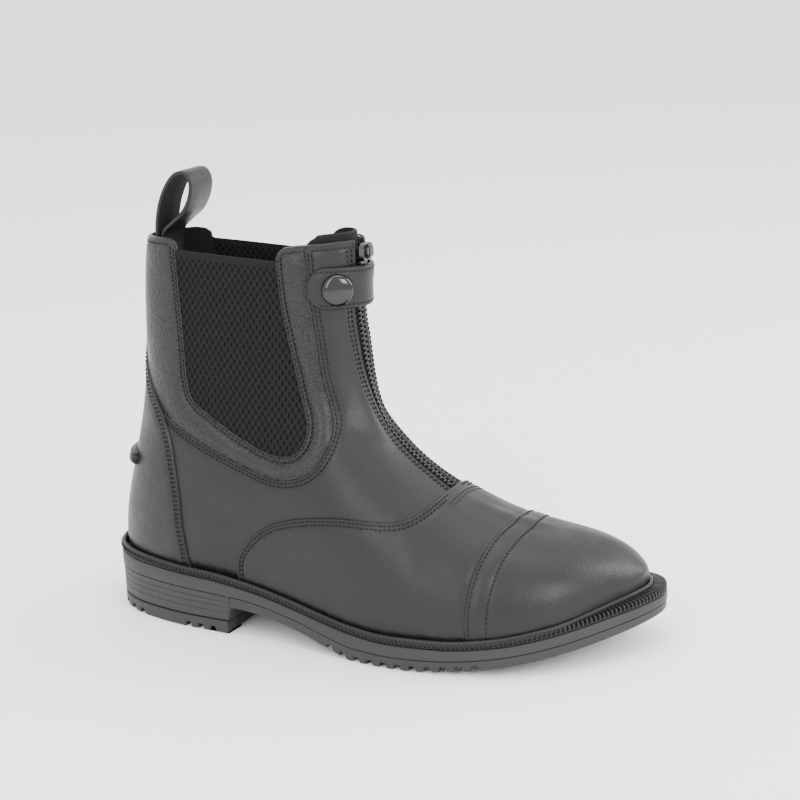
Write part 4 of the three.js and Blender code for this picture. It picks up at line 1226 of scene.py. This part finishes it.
class BOOT_OT_strap(bpy.types.Operator):
    """Strap over the zip with its domed snap, and the pull loop behind."""
    bl_idname = "boot.strap"
    bl_label = "Strap, Snap and Loop"

    def execute(self, context):
        def low(p):
            return OVERLAY_LOW + strap_lift(p)

        def high(p):
            return OVERLAY_LOW + 1.8 + strap_lift(p)

        def relief(p, d):
            return 0.25 * np.exp(-(((d - 4) / 3) ** 2)) - 0.25 * np.exp(-(((d - 2.0) / 0.7) ** 2))

        verts, faces, _ = panel(strap_region, low, high, (0.2, 0.5, 0.9, 1.5, 2.0, 2.5, 3.2),
                                0.8, relief)
        make("strap", verts, faces, [look("leather")], ["snap_strap"])
        self.snap()
        self.loop()
        return {"FINISHED"}

    def snap(self):
        a, b = (Vector(c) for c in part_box("snap_cap"))
        angle = math.atan2(-12.6, 46.2)
        where, _, _, _ = FORM_TREE.ray_cast(
            Vector((90 + 140 * math.cos(angle), 140 * math.sin(angle), 168.9)),
            Vector((-math.cos(angle), -math.sin(angle), 0)))
        p = np.array([list(where)])
        n = surface_normal(p)[0]
        base = p[0] + n * (OVERLAY_LOW + 1.8 + 0.3 + float(strap_lift(p)[0]))
        side = np.cross([0, 0, 1], n)
        side /= np.linalg.norm(side)
        up = np.cross(n, side)
        profile = [(0, 3.45)]
        for k in range(1, 17):
            t = k / 16
            profile.append((7.4 * math.sin(t * math.pi / 2) ** 0.96, 0.5 + 2.95 * (1 - t**2.3)))
        profile += [(7.5, 0.3), (7.4, 0.08), (7.0, 0.0)]
        count = 96
        angles = 2 * np.pi * np.arange(count) / count
        verts = [base + n * profile[0][1]]
        for r, h in profile[1:]:
            verts += [base + side * r * math.cos(t) + up * r * math.sin(t) + n * h for t in angles]
        verts.append(base)
        rows = len(profile) - 1
        faces = [[0, 1 + j, 1 + (j + 1) % count] for j in range(count)]
        for i in range(rows - 1):
            a, b = 1 + i * count, 1 + (i + 1) * count
            faces += [[a + j, b + j, b + (j + 1) % count, a + (j + 1) % count]
                      for j in range(count)]
        last = 1 + (rows - 1) * count
        faces += [[len(verts) - 1, last + (j + 1) % count, last + j] for j in range(count)]
        make("snap_dome", np.array(verts), faces, [look("snap")], ["snap_cap"],
             sharp=60)

    def loop(self):
        line = spline(LOOP_LINE, 120)
        t = np.gradient(line, axis=0)
        t /= np.linalg.norm(t, axis=1)[:, None]
        out = np.stack([-t[:, 1], t[:, 0]], axis=1)
        section = []
        half, thick, r = 9.5, 1.0, 0.6
        for cy, cw, start in ((half - r, thick - r, 0), (-half + r, thick - r, 1),
                              (-half + r, -thick + r, 2), (half - r, -thick + r, 3)):
            for k in range(5):
                a = (start + k / 4) * math.pi / 2
                section.append((cy + r * math.cos(a), cw + r * math.sin(a)))
        edge = [(y, w) for y, w in section]
        verts = []
        for (x, z), (ox, oz) in zip(line, out):
            verts += [(x + ox * w, y, z + oz * w) for y, w in edge]
        count = len(edge)
        faces = []
        for i in range(len(line) - 1):
            a, b = i * count, (i + 1) * count
            faces += [[a + j, a + (j + 1) % count, b + (j + 1) % count, b + j]
                      for j in range(count)]
        faces += [list(range(count))[::-1], [(len(line) - 1) * count + j for j in range(count)]]
        flat = np.array([w for _, w in edge])
        inside = [(flat[j] + flat[(j + 1) % count]) / 2 < -0.7 for j in range(count)]
        kind = np.array(inside * (len(line) - 1) + [False, False]).astype(int)
        make("back_loop", np.array(verts), faces, [look("leather"), look("felt")],
             ["pull_loop"], kind)


class BOOT_OT_stitches(bpy.types.Operator):
    """Rows of sewing thread along every seam."""
    bl_idname = "boot.stitches"
    bl_label = "Stitching"

    def execute(self, context):
        size = sizes(context)
        rows = {"band": [], "quarter": [], "vamp": [], "cap": [], "counter": [], "zip": [], "strap": []}
        rim = resample(np.vstack([GUSSET_OUTLINE]), 300)
        rim = rim[rim[:, 1] < 200]
        for sign in (-1, 1):
            for distance in (-1.3, -3.0):
                line = offset_line(rim, distance)
                line = line[line[:, 1] < collar_height(line[:, 0]) - 2.5]
                rows["band"].append((side_cast(line, sign), 0.0))
            top = np.array([(x, 186.4) for x in np.arange(28, 47, 0.8)])
            rows["band"].append((side_cast(top, sign), 0.0))
            top = np.array([(x, collar_height(x) - 3.0) for x in np.arange(124, 141, 0.8)])
            rows["quarter"].append((side_cast(top, sign), QUARTER_RISE))
            for distance in (1.6, 3.2):
                line = resample(offset_line(BAND_LINE, distance), 260)
                line = line[(line[:, 1] < 186) & (line[:, 0] > 40)]
                rows["quarter"].append((side_cast(line, sign), QUARTER_RISE))
            for distance in (-1.7, -3.3):
                line = resample(offset_line(VAMP_LINE, distance), 220)
                line = line[(line[:, 1] > 24) & (line[:, 0] < 186)]
                rows["vamp"].append((side_cast(line, sign), OVERLAY_HIGH))
                line = resample(offset_line(spline(COUNTER_EDGE, 60), distance), 180)
                line = line[(line[:, 1] > 32)]
                rows["counter"].append((side_cast(line, sign), OVERLAY_HIGH))
        for distance in (1.8, 9.2):
            rows["cap"].append((self.cap_row(distance), CAP_HIGH))
        for distance in (1.7, 3.3):
            over = plan_cast([(VAMP_EDGE[-1][0] + distance, y) for y in np.arange(-13, 19.5, 0.8)])
            rows["vamp"].append((over, OVERLAY_HIGH))
        for across in (SLOT_HALF + 2.2, SLOT_HALF + 4.0):
            for sign in (-1, 1):
                rows["zip"].append((front_cast(across * sign, 66, 187), QUARTER_RISE))
        low, high = STRAP_LOW_Z + 2.0, STRAP_LOW_Z + STRAP_HEIGHT - 2.0
        for z in (low, high):
            row = [h for h in (self.ring_cast(a, z) for a in np.radians(np.arange(-24, 27, 0.8)))
                   if h]
            rows["strap"].append((row, None))
        for name, list_of_rows in rows.items():
            ready = []
            for hits, height in list_of_rows:
                if len(hits) < 3:
                    continue
                p, n = arrays(hits)
                if height is None:
                    height = OVERLAY_LOW + 1.85 + strap_lift(p)
                ready.append((p, n, height + 0.02))
            verts, faces = lay_stitches(ready, size.stitch_length / MM, size.stitch_gap / MM,
                                        size.thread_width / MM)
            make(f"stitches_{name}", verts, faces, [look("thread")], sharp=80)
        return {"FINISHED"}

    @staticmethod
    def cap_row(distance):
        """A row across the cap and down both sides, behind the cap's rear edge."""
        across, along = CAP_LINE[:, 0], CAP_LINE[:, 1] + distance
        top = [h for h in plan_cast([(np.interp(y, across, along), y)
                                     for y in np.arange(-60, 60, 0.8)]) if h[1].z > 0.5]
        sides = []
        for sign, start in ((-1, top[0][0]), (1, top[-1][0])):
            row, y = [], start.y
            for z in np.arange(start.z - 0.6, sole_top(start.x) + 1.5, -0.8):
                for _ in range(3):
                    x = np.interp(y, across, along)
                    hit = side_cast([(x, z)], sign)
                    if hit:
                        y = hit[0][0].y
                row += hit
            sides.append(row)
        return sides[0][::-1] + top + sides[1]

    @staticmethod
    def ring_cast(angle, z):
        direction = Vector((math.cos(angle), math.sin(angle), 0))
        where, normal, _, _ = FORM_TREE.ray_cast(Vector((90, 0, z)) + direction * 140, -direction)
        return (where, normal) if where is not None else None


# Camera of the photograph: place in the frame, pitch, heading, roll and lens
CAMERA_PLACE = (0.5097, -0.7613, 0.3460)
CAMERA_PITCH = 15.13
CAMERA_HEADING = 27.18
CAMERA_ROLL = 2.45
CAMERA_LENS = 85.17


class BOOT_OT_stage(bpy.types.Operator):
    """Pale floor, soft lights and the camera."""
    bl_idname = "boot.stage"
    bl_label = "Stage"

    def execute(self, context):
        scene = context.scene
        mesh = bpy.data.meshes.new("floor")
        far = 6.0
        mesh.from_pydata([(-far, -far, 0), (far, -far, 0), (far, far, 0), (-far, far, 0)], [],
                         [(0, 1, 2, 3)])
        mesh.materials.append(self.floor_material())
        floor = bpy.data.objects.new("floor", mesh)
        scene.collection.objects.link(floor)
        world = bpy.data.worlds.new("studio")
        world.use_nodes = True
        background = world.node_tree.nodes["Background"]
        background.inputs["Color"].default_value = (1, 1, 1, 1)
        background.inputs["Strength"].default_value = 2.1
        scene.world = world
        self.light("key", (0.0, -1.35, 0.95), (0.07, 0, 0.08), 0.45, 12, 1.3)
        self.light("right", (1.5, -0.7, 0.9), (0.08, 0, 0.08), 0.7, 18)
        self.light("rim", (1.2, 0.8, 0.8), (0.09, 0, 0.16), 0.5, 16, 0.9)
        self.light("top", (0.1, 0.1, 1.8), (0.08, 0, 0.0), 1.4, 18)
        data = bpy.data.cameras.new("camera")
        data.sensor_width = 36
        data.lens = CAMERA_LENS
        data.clip_start = 0.01
        camera = bpy.data.objects.new("camera", data)
        camera.matrix_world = self.camera_matrix()
        scene.collection.objects.link(camera)
        scene.camera = camera
        return {"FINISHED"}

    @staticmethod
    def floor_material():
        material = bpy.data.materials.new("floor")
        material.use_nodes = True
        shader = material.node_tree.nodes["Principled BSDF"]
        shader.inputs["Base Color"].default_value = (0.95, 0.95, 0.95, 1)
        shader.inputs["Roughness"].default_value = 0.6
        shader.inputs["Specular IOR Level"].default_value = 0.2
        return material

    @staticmethod
    def light(name, place, target, size, power, height=None):
        data = bpy.data.lights.new(name, "AREA")
        data.shape = "RECTANGLE"
        data.size = size
        data.size_y = height or size
        data.energy = power
        obj = bpy.data.objects.new(name, data)
        direction = Vector(target) - Vector(place)
        obj.rotation_euler = direction.to_track_quat("-Z", "Y").to_euler()
        obj.location = place
        bpy.context.scene.collection.objects.link(obj)

    @staticmethod
    def camera_matrix():
        heading, pitch = math.radians(CAMERA_HEADING), math.radians(CAMERA_PITCH)
        roll = math.radians(CAMERA_ROLL)
        right = Vector((math.cos(heading), math.sin(heading), 0))
        level = Vector((-math.sin(heading), math.cos(heading), 0))
        forward = level * math.cos(pitch) - Vector((0, 0, math.sin(pitch)))
        up = level * math.sin(pitch) + Vector((0, 0, math.cos(pitch)))
        x = right * math.cos(roll) - up * math.sin(roll)
        y = right * math.sin(roll) + up * math.cos(roll)
        matrix = Matrix((x, y, -forward)).transposed().to_4x4()
        matrix.translation = Vector(CAMERA_PLACE)
        return matrix


class BOOT_OT_inside(bpy.types.Operator):
    """Felt-covered insole board."""
    bl_idname = "boot.inside"
    bl_label = "Insole"

    def execute(self, context):
        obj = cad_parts["insole"]
        obj.data.materials.clear()
        obj.data.materials.append(look("felt"))
        return {"FINISHED"}


class BOOT_PT_panel(bpy.types.Panel):
    """Sizes, colours and build steps of the boot."""
    bl_label = "Zip Ankle Boot"
    bl_idname = "BOOT_PT_panel"
    bl_space_type = "VIEW_3D"
    bl_region_type = "UI"
    bl_category = "Boot"

    def draw(self, context):
        layout = self.layout
        for group in (context.scene.boot_sizes, context.scene.boot_colours):
            for name in group.__annotations__:
                layout.prop(group, name)
        for operator in OPERATORS:
            layout.operator(operator.bl_idname)


OPERATORS = (BOOT_OT_shell, BOOT_OT_overlays, BOOT_OT_elastic, BOOT_OT_sole, BOOT_OT_zip,
             BOOT_OT_strap, BOOT_OT_stitches, BOOT_OT_inside, BOOT_OT_stage)
CLASSES = (BOOT_PG_sizes, BOOT_PG_colours) + OPERATORS + (BOOT_PT_panel,)


def register():
    for cls in CLASSES:
        bpy.utils.register_class(cls)
    bpy.types.Scene.boot_sizes = bpy.props.PointerProperty(type=BOOT_PG_sizes)
    bpy.types.Scene.boot_colours = bpy.props.PointerProperty(type=BOOT_PG_colours)


def unregister():
    del bpy.types.Scene.boot_colours
    del bpy.types.Scene.boot_sizes
    for cls in reversed(CLASSES):
        bpy.utils.unregister_class(cls)


def main():
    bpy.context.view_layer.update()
    register()
    bpy.ops.boot.shell()
    bpy.ops.boot.overlays()
    bpy.ops.boot.elastic()
    bpy.ops.boot.sole()
    bpy.ops.boot.zip()
    bpy.ops.boot.strap()
    bpy.ops.boot.stitches()
    bpy.ops.boot.inside()
    bpy.ops.boot.stage()


if __name__ == "__main__":
    main()
